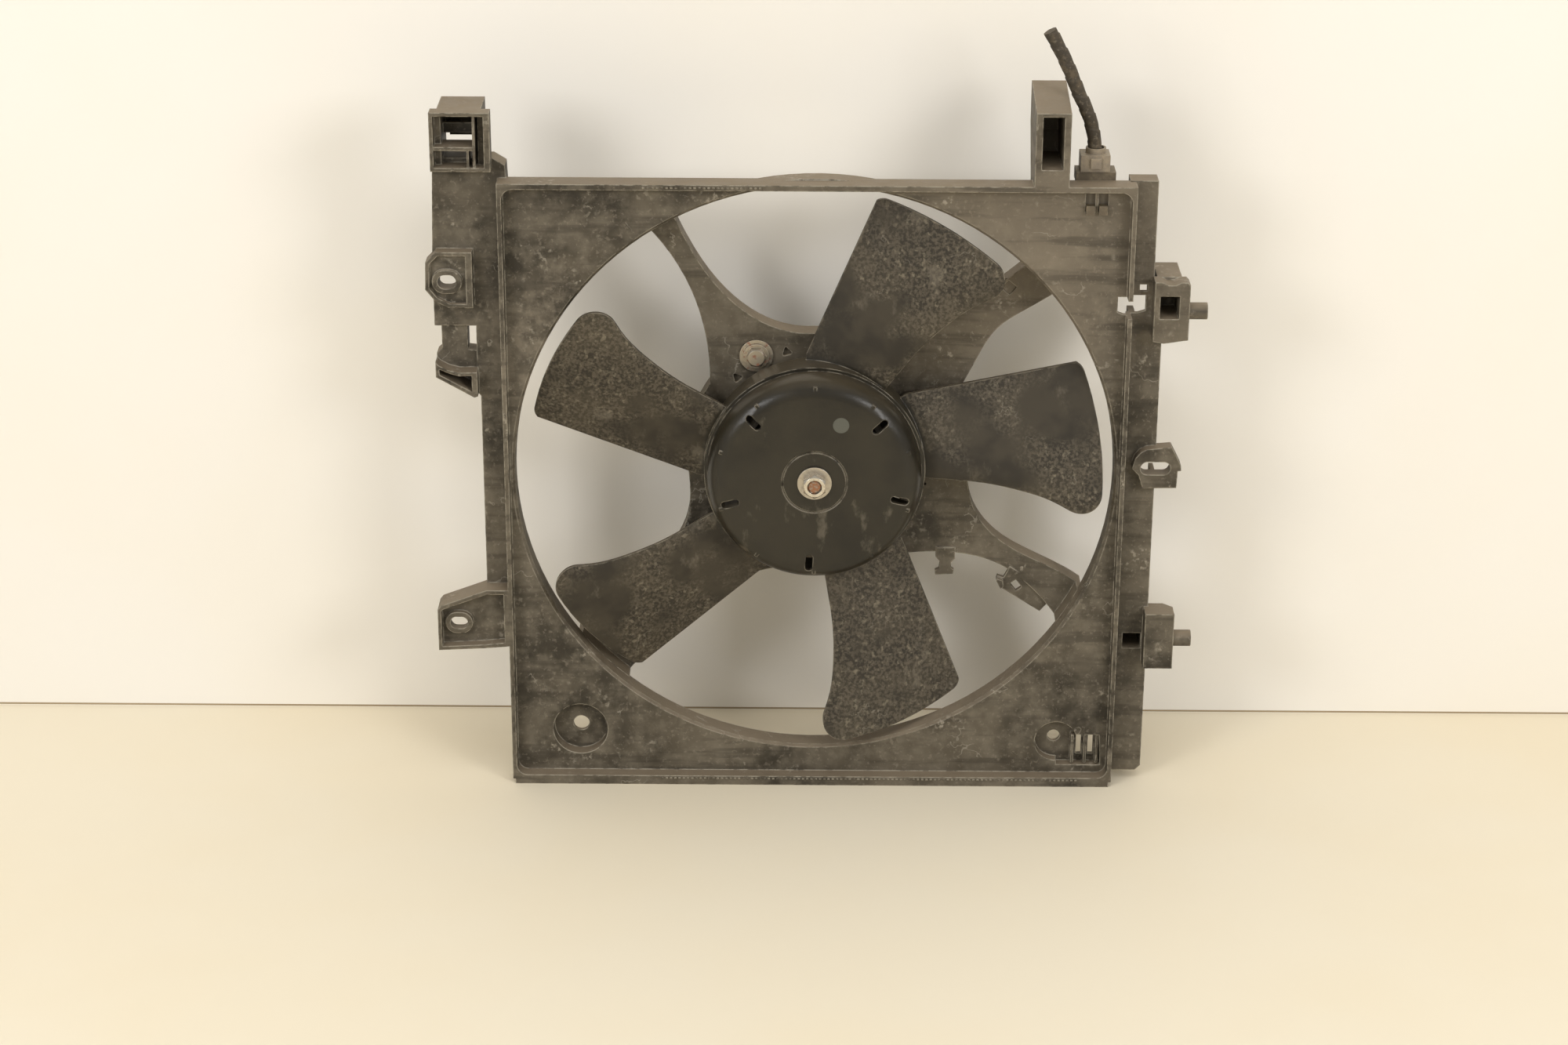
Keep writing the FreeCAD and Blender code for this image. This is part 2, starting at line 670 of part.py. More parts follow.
def screw_places():
    """Angles of the three motor screws."""
    return [119.0, -1.0, -121.0]


def arm_clips(body):
    """Loom clips moulded on the lower right arm: a T foot, and a plate with a hook and a square hole."""
    pad(body, "foot_clip", 37.4, 40.4, lambda k: polygon(k, [
        (69, -55), (80, -55), (80, -61.5), (78, -64), (78, -67.5), (79.5, -68.5), (79, -71),
        (69, -71.5), (68.8, -69), (71, -67.8), (71.5, -63.5), (69, -60.5)]))
    pad(body, "hook_plate", 34, 37, lambda k: polygon(k, [
        (111, -65), (107.6, -71.6), (104, -70.4), (103.4, -72.6), (106, -77.6), (128.6, -92.2),
        (133.6, -86.4), (137, -90.5), (134.5, -80)]))
    pocket(body, "hook_plate_hole", 34, 37, lambda k: polygon(k, [
        (111.2, -75.2), (114.6, -72.8), (118, -77.4), (114.8, -79.8)]))
    pad(body, "hook_plate_tooth", 31.5, 34.5, lambda k: polygon(k, [
        (103.6, -71.4), (107, -72.6), (107.5, -76.6), (105.8, -77.4), (103.4, -72.6)]))


def carrier_bosses(body):
    """Raised pads behind the plate that the motor's lugs are screwed to."""
    rear = s.carrier_front + s.boss_height
    for i, angle in enumerate(screw_places()):
        x, z = polar(s.screw_circle.value, angle)
        pad(body, f"screw_boss_{i}", s.carrier_front + 1, rear,
            lambda k, x=x, z=z: circle(k, x, z, s.screw_hole + 3.4))


def polar(radius, angle):
    turn = math.radians(angle)
    return (radius * math.cos(turn), radius * math.sin(turn))


def cylinder_y(radius, front, rear, x=0.0, z=0.0):
    return Part.makeCylinder(radius, rear - front, Vec(x, front, z), Vec(0, 1, 0))


def turned_about_axis(shape, angle):
    """Copy of the shape turned anticlockwise seen from the front."""
    copy = shape.copy()
    copy.rotate(Vec(0, 0, 0), Vec(0, 1, 0), -angle)
    return copy


def triangle_pocket(radius, angle, reach, y, depth):
    x, z = polar(radius, angle)
    corners = [Vec(x + dx, y, z + dz) for dx, dz in (polar(reach, angle + k * 120) for k in range(3))]
    prism = Part.Face(Part.makePolygon(corners + corners[:1])).extrude(Vec(0, depth, 0))
    return prism.makeFillet(reach * 0.22, [e for e in prism.Edges if abs(e.tangentAt(0).y) > 0.9])


def drilled_carrier(shape):
    """Screw holes, and the pair of triangular windows beside each of them."""
    front = s.carrier_front.value - 1
    depth = s.boss_height.value + 3
    hole_radius = s.screw_hole.value
    for angle in screw_places():
        x, z = polar(s.screw_circle.value, angle)
        shape = shape.cut(cylinder_y(hole_radius, front, front + depth, x, z))
        for side in (-14.5, 14.5):
            shape = shape.cut(triangle_pocket(62.5, angle + side, 3.6, front, depth))
    x, z = 105.5, 101
    square = Part.makeBox(6, 30, 6, Vec(x - 3, 24, z - 3))
    square.rotate(Vec(x, 0, z), Vec(0, 1, 0), 40)
    return shape.cut(square)


# ------------------------------------------------------------------ fan

BLADE_PLACES = [42.3, 134.3, 195.8, 266.8, 347.3]
# Plan of one blade: (radius, angle from the blade's own mark) of its two edges.
LEADING_EDGE = [(54, 8.6), (65, 9), (90, 10), (113, 9), (130, 7.5), (145, 5.2), (158, 3.4)]
TRAILING_EDGE = [(54, 53.2), (65, 52), (75, 50.5), (90, 47.5), (110, 43.5), (130, 40), (158, 35.5)]


def blade_plan():
    """Prism of the blade's outline seen from the front, with its tip corners rounded."""
    front, rear = -20, 50
    lead = [polar(r, a) for r, a in LEADING_EDGE]
    trail = [polar(r, a) for r, a in TRAILING_EDGE]
    tip = s.blade_tip.value
    lead[-1], trail[-1] = on_circle(lead[-1], tip), on_circle(trail[-1], tip)
    outline = Part.Wire([
        smooth_edge(lead, front),
        arc_between(lead[-1], trail[-1], tip, front, 1),
        smooth_edge(list(reversed(trail)), front),
        arc_between(trail[0], lead[0], math.hypot(*lead[0]), front, -1),
    ])
    prism = Part.Face(outline).extrude(Vec(0, rear - front, 0))
    for corner, radius in ((lead[-1], 12), (trail[-1], 8)):
        here = upright_at(*corner)
        prism = prism.makeFillet(radius, [e for e in prism.Edges if here(e)])
    return prism


def blade_section(reach):
    """Closed cambered section at one distance along the blade's own mark."""
    root, tip = 58.0, 150.0
    along = (reach - root) / (tip - root)
    lead_root, lead_tip = s.blade_lead_root.value, s.blade_lead_tip.value
    trail_root, trail_tip = s.blade_trail_root.value, s.blade_trail_tip.value
    y_lead = lead_root + (lead_tip - lead_root) * along
    y_trail = trail_root + (trail_tip - trail_root) * along
    start = 8.5 + 8.8 * math.sin(math.pi * (reach - 50) / 110) - 2
    end = 51 + (reach - 40) * 0.46
    width = end - start
    nose = 3.4 * min(1.0, 0.35 + 0.65 * max(along, 0))
    thick = s.blade_thickness.value
    rise = y_trail - y_lead
    front = [(start - 1, y_lead + nose + 1.3), (start + 3, y_lead - nose * 0.8),
             (start + 0.42 * width, y_lead + 0.22 * rise), (end, y_trail)]
    rear = [(c + (0.4 if i == 0 else 0), y + thick * 1.08) for i, (c, y) in enumerate(front)]
    faces = []
    for points in (front, list(reversed(rear))):
        curve = Part.BezierCurve()
        curve.setPoles([Vec(reach, y, c) for c, y in points])
        faces.append(curve.toShape())
    corners = [Vec(reach, y, c) for c, y in (front[-1], rear[-1], rear[0], front[0])]
    return Part.Wire([faces[0], Part.makeLine(corners[0], corners[1]), faces[1],
                      Part.makeLine(corners[2], corners[3])])


def blade_shape():
    """One blade: lofted cambered sections trimmed to the rounded plan and to the hub."""
    sections = [blade_section(reach) for reach in (30, 74, 118, 162)]
    blade = Part.makeLoft(sections, True, False).common(blade_plan())
    inside_hub = s.hub_flange.value - 1.5
    return blade.cut(cylinder_y(inside_hub, -30, 60))


def hub_features(body):
    outer, wall, face, rnd = s.hub_radius, s.hub_wall, s.hub_face, s.hub_round
    steps = 5
    outside = [(0, face), (outer - rnd, face)]
    inside = []
    for i in range(1, steps + 1):
        turn = math.pi / 2 * i / steps
        sin, cos = round(math.sin(turn), 4), round(1 - math.cos(turn), 4)
        outside.append((outer - rnd + rnd * sin, face + rnd * cos))
        inside.append((outer - rnd + (rnd - wall) * sin, face + wall + (rnd - wall) * cos))
    flange_in = s.hub_flange - wall
    outside += [(outer, s.flange_front), (s.hub_flange, s.flange_front), (s.hub_flange, s.hub_rear),
                (flange_in, s.hub_rear), (flange_in, s.flange_front + wall)]
    profile = outside + [(outer - wall, s.flange_front + wall - 1)]
    profile += list(reversed(inside)) + [(outer - rnd, face + wall), (0, face + wall)]
    turned(body, "hub_shell", profile)
    boss = s.insert_radius + 5
    pad(body, "hub_boss", face + 1, s.insert_length - 4, lambda k: circle(k, 0, 0, boss))
    for i in range(10):
        angle = 18 + 36 * i
        ends = [polar(14, angle), polar(55, angle)]
        across = polar(0.9, angle + 90)
        pad(body, f"hub_rib_{i}", face + 1, face + 13, lambda k: polygon(k, [
            (ends[0][0] + across[0], ends[0][1] + across[1]),
            (ends[1][0] + across[0], ends[1][1] + across[1]),
            (ends[1][0] - across[0], ends[1][1] - across[1]),
            (ends[0][0] - across[0], ends[0][1] - across[1])]))
    pocket(body, "hub_bore", face, s.insert_length,
           lambda k: circle(k, 0, 0, s.insert_radius + s.running_clearance))
    turned(body, "hub_ring_line", [(17, face - 0.5), (18.3, face - 0.5), (18, face + 0.6),
                                   (17.3, face + 0.6)], subtract=True)


def slotted_hub(shape):
    """The balancing slots, one behind each blade's mark."""
    radius, half = s.slot_circle.value, 2.0
    for place in BLADE_PLACES:
        slot = Part.makeBox(6, 30, 2 * half, Vec(radius - 3, -10, -half))
        slot = slot.fuse([cylinder_y(half, -10, 20, radius - 3), cylinder_y(half, -10, 20, radius + 3)])
        shape = shape.cut(turned_about_axis(slot.removeSplitter(), place))
    return shape


# ------------------------------------------------------------------ motor

def lug_features(body, front, rear):
    """Three lugs of the motor's front cover, each with its screw hole."""
    for i, angle in enumerate(screw_places()):
        along, across = polar(1, angle), polar(1, angle + 90)

        def corner_at(reach, side, along=along, across=across):
            return (along[0] * reach + across[0] * side, along[1] * reach + across[1] * side)

        tip = s.screw_circle.value + 5.5
        pad(body, f"lug_{i}", front, rear, lambda k, at=corner_at: polygon(k, [
            at(42, -14), at(tip - 12, -10), at(tip - 3, -5.5), at(tip, -2.8), at(tip, 2.8),
            at(tip - 3, 5.5), at(tip - 12, 10), at(42, 14)]))
        x, z = polar(s.screw_circle.value, angle)
        pocket(body, f"lug_hole_{i}", front, rear,
               lambda k, x=x, z=z: circle(k, x, z, s.screw_radius + s.running_clearance))


def cover_features(body):
    lug_front = s.carrier_front + s.boss_height + s.fit_gap
    lug_rear = lug_front + s.ear_thickness
    wall, cup, front = s.can_wall, s.cover_radius, s.cover_front
    bore = s.bush_radius + s.running_clearance
    turned(body, "cover_shell", [
        (bore, front), (cup - 2, front), (cup, front + 2), (cup, lug_front), (s.can_radius + 4, lug_front),
        (s.can_radius + 4, lug_rear), (cup - wall, lug_rear), (cup - wall, front + wall + 1),
        (cup - wall - 1, front + wall), (bore + 3, front + wall), (bore + 3, front + 9), (bore, front + 9)])
    lug_features(body, lug_front, lug_rear)
    return lug_rear


def case_features(body):
    front = s.carrier_front + s.boss_height + 2 * s.fit_gap + s.ear_thickness
    outer, wall, rear = s.can_radius, s.can_wall, s.can_rear
    boss = s.bush_radius + s.running_clearance
    turned(body, "case_shell", [
        (outer - wall, front), (outer, front), (outer, rear - 4), (outer - 1.2, rear - 1.2),
        (outer - 4, rear),
        (boss + wall + 4, rear), (boss + wall + 1, rear + 1), (boss + wall, rear + 6), (boss + wall - 2, rear + 7.5),
        (0, rear + 7.5), (0, rear + 5.5), (boss, rear + 5.5), (boss, rear - wall),
        (outer - 4.5, rear - wall), (outer - wall, rear - 4.5)])
    for i in range(4):
        x, z = polar(30, 45 + 90 * i)
        pocket(body, f"case_vent_{i}", rear - wall, rear, lambda k, x=x, z=z: circle(k, x, z, 3.5))
    pocket(body, "lead_hole", outer - 4, outer + 1,
           lambda k: circle(k, front + 7, 0, 5.0), plane="side")


def magnet_shape(middle):
    """Arc magnet centred on an angle."""
    outer = s.can_radius.value - s.can_wall.value - 0.1
    inner = outer - s.magnet_thickness.value
    front = s.armature_front.value - 3
    rear = s.armature_front.value + s.armature_length.value + 3
    shell = cylinder_y(outer, front, rear).cut(cylinder_y(inner, front - 1, rear + 1))
    half = math.radians(62)
    reach = 80
    wedge_points = [Vec(0, front - 1, 0)]
    for k in range(-2, 3):
        turn = math.radians(middle) + half * k / 2
        wedge_points.append(Vec(reach * math.cos(turn), front - 1, reach * math.sin(turn)))
    wedge = Part.Face(Part.makePolygon(wedge_points + wedge_points[:1])).extrude(
        Vec(0, rear - front + 2, 0))
    return shell.common(wedge)


def armature_radius():
    return s.can_radius - s.can_wall - s.magnet_thickness - s.air_gap - 0.1


def armature_shapes():
    """Slotted core, and the windings that lie in its slots and over both ends."""
    radius, count = armature_radius().value, round(s.armature_slots.value)
    front = s.armature_front.value
    rear = front + s.armature_length.value
    shaft = s.shaft_radius.value + 0.02
    core = cylinder_y(radius, front, rear)
    coils = None
    for i in range(count):
        angle = 360 / count * i
        slot = Part.makeBox(radius * 0.42, rear - front + 2, 6.4,
                            Vec(radius * 0.5, front - 1, -3.2))
        mouth = Part.makeBox(radius, rear - front + 2, 2.2, Vec(radius * 0.6, front - 1, -1.1))
        core = core.cut(turned_about_axis(slot.fuse(mouth), angle))
        coil = Part.makeBox(radius * 0.42 - 0.6, rear - front + 4, 5.8,
                            Vec(radius * 0.5 + 0.3, front - 2, -2.9))
        coil = turned_about_axis(coil, angle)
        coils = coil if coils is None else coils.fuse(coil)
    core = core.cut(cylinder_y(shaft, front - 1, rear + 1))
    low, high = shaft + 3, radius * 0.91
    ends = [ring_solid([(low, front - 7), (high - 5, front - 7), (high - 1, front - 3), (high - 1, front - 0.4),
                        (low, front - 0.4)]),
            ring_solid([(low, rear + 0.4), (high - 1, rear + 0.4), (high - 1, rear + 2.6), (high - 5, rear + 6),
                        (low, rear + 6)])]
    return core, coils.fuse(ends).removeSplitter()


# ------------------------------------------------------------------ cord

def cord_tube(points, radius):
    """Round tube along straight runs joined by tangent arcs; also returns the arc radii."""
    corners, radii = [], []
    for before, here, after in zip(points, points[1:], points[2:]):
        into, out = (here - before), (after - here)
        run = min(into.Length, out.Length) * 0.45
        into.normalize()
        out.normalize()
        half_turn = into.getAngle(out) / 2
        start, end = here - into * run, here + out * run
        bisector = (out - into)
        bisector.normalize()
        arc_radius = run / math.tan(half_turn)
        centre = here + bisector * (arc_radius / math.cos(half_turn))
        middle = centre - bisector * arc_radius
        corners.append((start, middle, end))
        radii.append(arc_radius)
    edges, last = [], points[0]
    for start, middle, end in corners:
        edges.append(Part.makeLine(last, start))
        edges.append(Part.Arc(start, middle, end).toShape())
        last = end
    edges.append(Part.makeLine(last, points[-1]))
    spine = Part.Wire(edges)
    first = points[1] - points[0]
    disc = Part.Wire(Part.makeCircle(radius, points[0], first))
    return spine.makePipeShell([disc], True, False), radii


def loom_points():
    """The loom's route: equal runs leaning step by step towards the middle."""
    x, y, z = 148.5, 20.5, 180.5
    points = [Vec(x, y, z)]
    for lean in (7, 19, 27, 22, 26, 30):
        turn = math.radians(lean)
        x -= 12 * math.sin(turn)
        z += 12 * math.cos(turn)
        points.append(Vec(x, y, z))
    return points


# ------------------------------------------------------------------ build: shroud

def body_of(label, *steps):
    """A body made by one or more feature functions, in order."""
    body = new_body(label)
    for step in steps:
        step(body)
    return body


tray = body_of("tray", tray_features, wing_features, wing_holes, panel_details, barrel_gussets)
brackets = [body_of(step.__name__, step) for step in (
    left_bracket, right_column, right_block, lower_block, left_tabs, right_tab, hook_clip)]
screw_bosses = body_of("screw_bosses", carrier_bosses)
clips = body_of("arm_clips", arm_clips)
doc.recompute()
carrier = shaped("carrier", drilled_carrier(
    carrier_shape().fuse(screw_bosses.Shape).removeSplitter()))
keep(joined("shroud", [tray, carrier, clips] + brackets))

# ------------------------------------------------------------------ build: fan

hub = new_body("hub")
hub_features(hub)
doc.recompute()
one_blade = blade_shape()
hub_cut = shaped("hub_cut", slotted_hub(hub.Shape))
blades = [shaped(f"blade_{i}", turned_about_axis(one_blade, angle))
          for i, angle in enumerate(BLADE_PLACES)]
keep(joined("fan", [hub_cut] + blades))

insert = new_body("hub_insert")
pad(insert, "insert_core", s.hub_face, s.insert_length, lambda k: circle(k, 0, 0, s.insert_radius))
pocket(insert, "insert_bore", s.hub_face, s.insert_length, lambda k: circle(k, 0, 0, s.shaft_radius + 0.01))
keep(insert)

washer = new_body("fan_washer")
pad(washer, "washer_disc", s.hub_face - s.washer_thickness, s.hub_face,
    lambda k: circle(k, 0, 0, s.washer_radius))
pocket(washer, "washer_hole", s.hub_face - s.washer_thickness, s.hub_face,
       lambda k: circle(k, 0, 0, s.shaft_radius + s.running_clearance))
keep(washer)

nut = new_body("fan_nut")
nut_rear = s.hub_face - s.washer_thickness
nut_front = nut_rear - s.nut_height
corner_radius = s.nut_width * (0.5 / math.cos(math.pi / 6))
hexagon = [polar(1, 30 + 60 * i) for i in range(6)]
pad(nut, "nut_hexagon", nut_front, nut_rear, lambda k: polygon(
    k, [(corner_radius * round(x, 5), corner_radius * round(z, 5)) for x, z in hexagon]))
turned(nut, "nut_chamfer", [
    (s.nut_width * 0.5 - 0.4, nut_front - 1), (s.nut_width, nut_front - 1), (s.nut_width, nut_front + 4),
    (s.nut_width * 0.5 + 0.9, nut_front + 1.2), (s.nut_width * 0.5 - 0.4, nut_front)], subtract=True)
pocket(nut, "nut_thread", nut_front, nut_rear, lambda k: circle(k, 0, 0, s.shaft_radius + 0.01))
keep(nut)

shaft = new_body("shaft")
turned(shaft, "shaft_turned", [
    (0, s.shaft_front), (s.shaft_radius - 1, s.shaft_front), (s.shaft_radius, s.shaft_front + 1),
    (s.shaft_radius, s.shaft_rear - 1), (s.shaft_radius - 1, s.shaft_rear), (0, s.shaft_rear)])
keep(shaft)

# ------------------------------------------------------------------ build: motor

cover = new_body("motor_front_cover")
cover_rear = cover_features(cover)
keep(cover)

case = new_body("motor_case")
case_features(case)
keep(case)

keep(shaped("magnet_upper", magnet_shape(90)))
keep(shaped("magnet_lower", magnet_shape(-90)))

core_shape, coil_shape = armature_shapes()
keep(shaped("armature_core", core_shape))
keep(shaped("windings", coil_shape))

for label, front, rear in (("front_bush", s.cover_front - 1.5, s.cover_front + 11),
                           ("rear_bush", s.can_rear - 1.5, s.can_rear + 5)):
    bush = new_body(label)
    pad(bush, f"{label}_sleeve", front, rear, lambda k: circle(k, 0, 0, s.bush_radius))
    pocket(bush, f"{label}_bore", front, rear,
           lambda k: circle(k, 0, 0, s.shaft_radius + s.running_clearance))
    keep(bush)

commutator = new_body("commutator")
comm_front, comm_rear = s.armature_front - 20, s.armature_front - 8
pad(commutator, "segments", comm_front, comm_rear, lambda k: circle(k, 0, 0, s.commutator_radius))
pocket(commutator, "commutator_bore", comm_front, comm_rear, lambda k: circle(k, 0, 0, s.shaft_radius + 0.02))
for i in range(round(s.armature_slots.value)):
    angle = 15 + 30 * i
    x0, z0 = polar(s.commutator_radius.value - 1.4, angle)
    x1, z1 = polar(s.commutator_radius.value + 1, angle)
    dx, dz = polar(0.35, angle + 90)
    pocket(commutator, f"segment_gap_{i}", comm_front, comm_rear, lambda k: polygon(
        k, [(x0 + dx, z0 + dz), (x1 + dx, z1 + dz), (x1 - dx, z1 - dz), (x0 - dx, z0 - dz)]))
keep(commutator)

holder = new_body("brush_holder")
plate_front, plate_rear = comm_rear - 1.5, comm_rear + 0.5
holder_outer = s.cover_radius - s.can_wall - 0.1
pad(holder, "holder_plate", plate_front, plate_rear, lambda k: circle(k, 0, 0, holder_outer))
for i, side in enumerate((-1, 1)):
    near, far = side * (s.commutator_radius.value + 2), side * (s.cover_radius.value - 4)
    left, right = min(near, far), max(near, far)
    pad(holder, f"brush_box_{i}", comm_front, plate_front + 0.5,
        lambda k: rectangle(k, left, right, -6, 6))
    pocket(holder, f"brush_way_{i}", comm_front + 1.5, plate_front,
           lambda k: rectangle(k, left - 1, right + 1, -4.2, 4.2))
pocket(holder, "holder_bore", comm_front, plate_rear,
       lambda k: circle(k, 0, 0, s.commutator_radius + 1.5))
keep(holder)

brush_blocks = []
spring_strips = []
for side in (-1, 1):
    near = s.commutator_radius.value + 0.3
    y0, y1 = (comm_front + 1.8).value, (plate_front - 0.3).value
    start = near if side > 0 else -near - 13
    block = Part.makeBox(13, y1 - y0, 7.8, Vec(start, y0, -3.9))
    block = block.cut(cylinder_y(s.commutator_radius.value + 0.3, y0 - 1, y1 + 1))
    brush_blocks.append(block)
    middle = side * (near + 16.7)
    roll = cylinder_y(3.4, y0 + 1, y1 - 1, middle).cut(cylinder_y(2.6, y0, y1, middle))
    spring_strips.append(roll)
keep(shaped("carbon_brushes", Part.makeCompound(brush_blocks)))
keep(shaped("brush_springs", Part.makeCompound(spring_strips)))

grommet = new_body("motor_lead_grommet")
grommet_y = s.carrier_front + s.boss_height + 2 * s.fit_gap + s.ear_thickness + 7
for name, radius, low, high in (("grommet_neck", 4.7, s.can_radius - 5, s.can_radius + 0.6),
                                ("grommet_rim", 6.5, s.can_radius + 0.5, s.can_radius + 3),
                                ("grommet_inner", 6.0, s.can_radius - 5, s.can_radius - 3.2)):
    pad(grommet, name, low, high, lambda k: circle(k, grommet_y, 0, radius), plane="side")
pocket(grommet, "grommet_hole", s.can_radius - 6, s.can_radius + 3,
       lambda k: circle(k, grommet_y, 0, 2.6), plane="side")
keep(grommet)


def fasteners(label, build):
    """One node of identical pieces, one at each screw place."""
    pieces = []
    for angle in screw_places():
        x, z = polar(s.screw_circle.value, angle)
        pieces.append(build().translated(Vec(x, 0, z)))
    keep(shaped(label, Part.makeCompound(pieces)))


def one_screw():
    seat = s.carrier_front.value - s.screw_washer_thickness.value
    radius = s.screw_radius.value
    hexagon_wire = Part.makePolygon([Vec(*(lambda c: (c[0], seat - 4.2, c[1]))(polar(5.77, 60 * i)))
                                     for i in range(7)])
    head = Part.Face(hexagon_wire).extrude(Vec(0, 4.2, 0))
    head = head.common(Part.makeCone(4.4, 8.4, 4.2, Vec(0, seat - 4.2, 0), Vec(0, 1, 0)))
    flange = cylinder_y(7.2, seat - 1.2, seat)
    end = cover_rear.value + 3
    return head.fuse([flange, cylinder_y(radius, seat, end)]).removeSplitter()


def one_washer():
    front, rear = s.carrier_front.value - s.screw_washer_thickness.value, s.carrier_front.value
    return cylinder_y(9.3, front, rear).cut(cylinder_y(s.screw_radius.value + 0.1, front - 1, rear + 1))


fasteners("motor_screws", one_screw)
fasteners("screw_washers", one_washer)

# ------------------------------------------------------------------ build: connector and loom

receptacle = new_body("receptacle")
panel_back = s.panel_front + s.panel_wall + s.fit_gap
pad(receptacle, "receptacle_foot", panel_back, 15, lambda k: rectangle(k, 140, 158, 149, 163.4))
pad(receptacle, "receptacle_box", 14.6, 27, lambda k: rectangle(k, 138.5, 158.8, 149, 171.7))
pad(receptacle, "receptacle_collar", 14.6, 28, lambda k: rectangle(k, 138, 159.3, 165.6, 171.7))
for i, x in enumerate((143.4, 150.3)):
    pad(receptacle, f"clip_leg_{i}", 5.5, panel_back + 1,
        lambda k: rectangle(k, x, x + 4.5, 152, 155.5))
    pad(receptacle, f"clip_hook_{i}", 5.5, s.panel_front - s.fit_gap,
        lambda k: rectangle(k, x, x + 4.5, 150.7, 155.5))
pocket(receptacle, "receptacle_cavity", 156, 172, lambda k: rectangle(k, 141.2, 156.2, 16.8, 25), plane="top")
TERMINAL_PLACES = (144, 147.2, 150.4, 153.6)
for i, x in enumerate(TERMINAL_PLACES):
    pocket(receptacle, f"terminal_slot_{i}", 152.4, 156.5,
           lambda k: rectangle(k, x - 0.5, x + 0.5, 19.3, 22.3), plane="top")
keep(receptacle)

terminals = [Part.makeBox(0.8, 2.8, 16, Vec(x - 0.4, 19.4, 152.5)) for x in TERMINAL_PLACES]
keep(shaped("receptacle_terminals", Part.makeCompound(terminals)))

plug = new_body("harness_plug")
pad(plug, "plug_nose", 157.5, 172.5, lambda k: rectangle(k, 141.5, 155.9, 17.1, 24.7), plane="top")
pad(plug, "plug_body", 172, 181, lambda k: rectangle(k, 140.2, 155.9, 13.8, 27.2), plane="top")
pad(plug, "plug_boot", 180.5, 184, lambda k: circle(k, 148.5, 20.5, 5.4), plane="top")
pad(plug, "plug_latch", 174, 179.5, lambda k: rectangle(k, 145.5, 151, 12.4, 14), plane="top")
pocket(plug, "plug_cord_hole", 179.5, 184,
       lambda k: circle(k, 148.5, 20.5, s.loom_diameter * 0.5 + 0.8), plane="top")
for i, x in enumerate(TERMINAL_PLACES):
    pocket(plug, f"plug_way_{i}", 157.5, 169.5,
           lambda k: rectangle(k, x - 0.7, x + 0.7, 19.1, 22.5), plane="top")
keep(plug)

loom_shape, loom_radii = cord_tube(loom_points(), s.loom_diameter.value / 2)
print("loom arc radii:", [round(r, 1) for r in loom_radii])
keep(shaped("loom_stub", loom_shape))

# ------------------------------------------------------------------ check and write

doc.recompute()
for obj in doc.Objects:
    if any(state in ("Invalid", "Error") for state in obj.State):
        raise RuntimeError(f"{obj.Name} ({obj.Label}): {obj.State}")

os.makedirs("parts", exist_ok=True)
for obj in NODES:
    shape = obj.Shape
    if shape.isNull() or not shape.isValid():
        raise RuntimeError(f"{obj.Label} has no valid shape")
    shape.exportStep(f"parts/{obj.Label}.step")
    box = shape.BoundBox
    print(f"{obj.Label:22s} solids {len(shape.Solids)} volume {shape.Volume / 1000:9.2f} cm3 "
          f"x {box.XMin:7.1f} {box.XMax:7.1f} y {box.YMin:6.1f} {box.YMax:6.1f} z {box.ZMin:7.1f} {box.ZMax:7.1f}")
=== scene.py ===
"""Finishes and small details of a radiator fan shroud: its moulding, fan, motor, fasteners and loom."""

import json
import math

import bmesh
import bpy
from bpy.props import FloatProperty, PointerProperty, StringProperty
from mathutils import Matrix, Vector


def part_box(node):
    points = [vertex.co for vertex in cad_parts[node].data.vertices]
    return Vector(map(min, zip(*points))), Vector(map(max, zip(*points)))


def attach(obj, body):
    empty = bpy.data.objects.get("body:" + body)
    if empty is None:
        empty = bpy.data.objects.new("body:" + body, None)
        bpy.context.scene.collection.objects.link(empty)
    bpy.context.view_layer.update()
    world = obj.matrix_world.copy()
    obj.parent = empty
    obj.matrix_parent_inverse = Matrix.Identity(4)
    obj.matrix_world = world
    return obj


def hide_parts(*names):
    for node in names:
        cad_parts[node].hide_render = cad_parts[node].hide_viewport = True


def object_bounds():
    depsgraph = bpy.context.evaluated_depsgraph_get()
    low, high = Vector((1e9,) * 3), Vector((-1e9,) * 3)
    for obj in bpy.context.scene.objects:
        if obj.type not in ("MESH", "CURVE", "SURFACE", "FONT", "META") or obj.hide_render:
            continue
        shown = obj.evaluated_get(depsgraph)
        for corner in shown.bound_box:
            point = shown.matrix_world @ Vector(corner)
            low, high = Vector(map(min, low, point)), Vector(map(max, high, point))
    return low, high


bl_info = {
    "name": "Radiator Fan Shroud",
    "version": (1, 0, 0),
    "blender": (4, 5, 0),
    "location": "View3D > Sidebar > Fan Shroud",
    "description": "Dresses a radiator fan shroud with worn plastics, metals, threads and a taped loom",
    "category": "Object",
}

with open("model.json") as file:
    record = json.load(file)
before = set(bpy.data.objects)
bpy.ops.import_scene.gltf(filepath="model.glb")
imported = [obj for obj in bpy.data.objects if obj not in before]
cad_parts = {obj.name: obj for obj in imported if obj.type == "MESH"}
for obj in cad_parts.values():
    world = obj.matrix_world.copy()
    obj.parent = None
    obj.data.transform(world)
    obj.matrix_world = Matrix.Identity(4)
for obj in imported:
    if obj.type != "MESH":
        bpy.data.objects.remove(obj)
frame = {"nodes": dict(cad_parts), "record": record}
CAD_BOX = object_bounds()
MM = 0.001

# The loom's route from the plug's top, the same points as in the part's source.
LOOM_ROUTE = [(0.1485, 0.0205, 0.1805), (0.14704, 0.0205, 0.19241), (0.14313, 0.0205, 0.20376),
              (0.13768, 0.0205, 0.21445), (0.13319, 0.0205, 0.22558), (0.12793, 0.0205, 0.23636),
              (0.12193, 0.0205, 0.24675)]

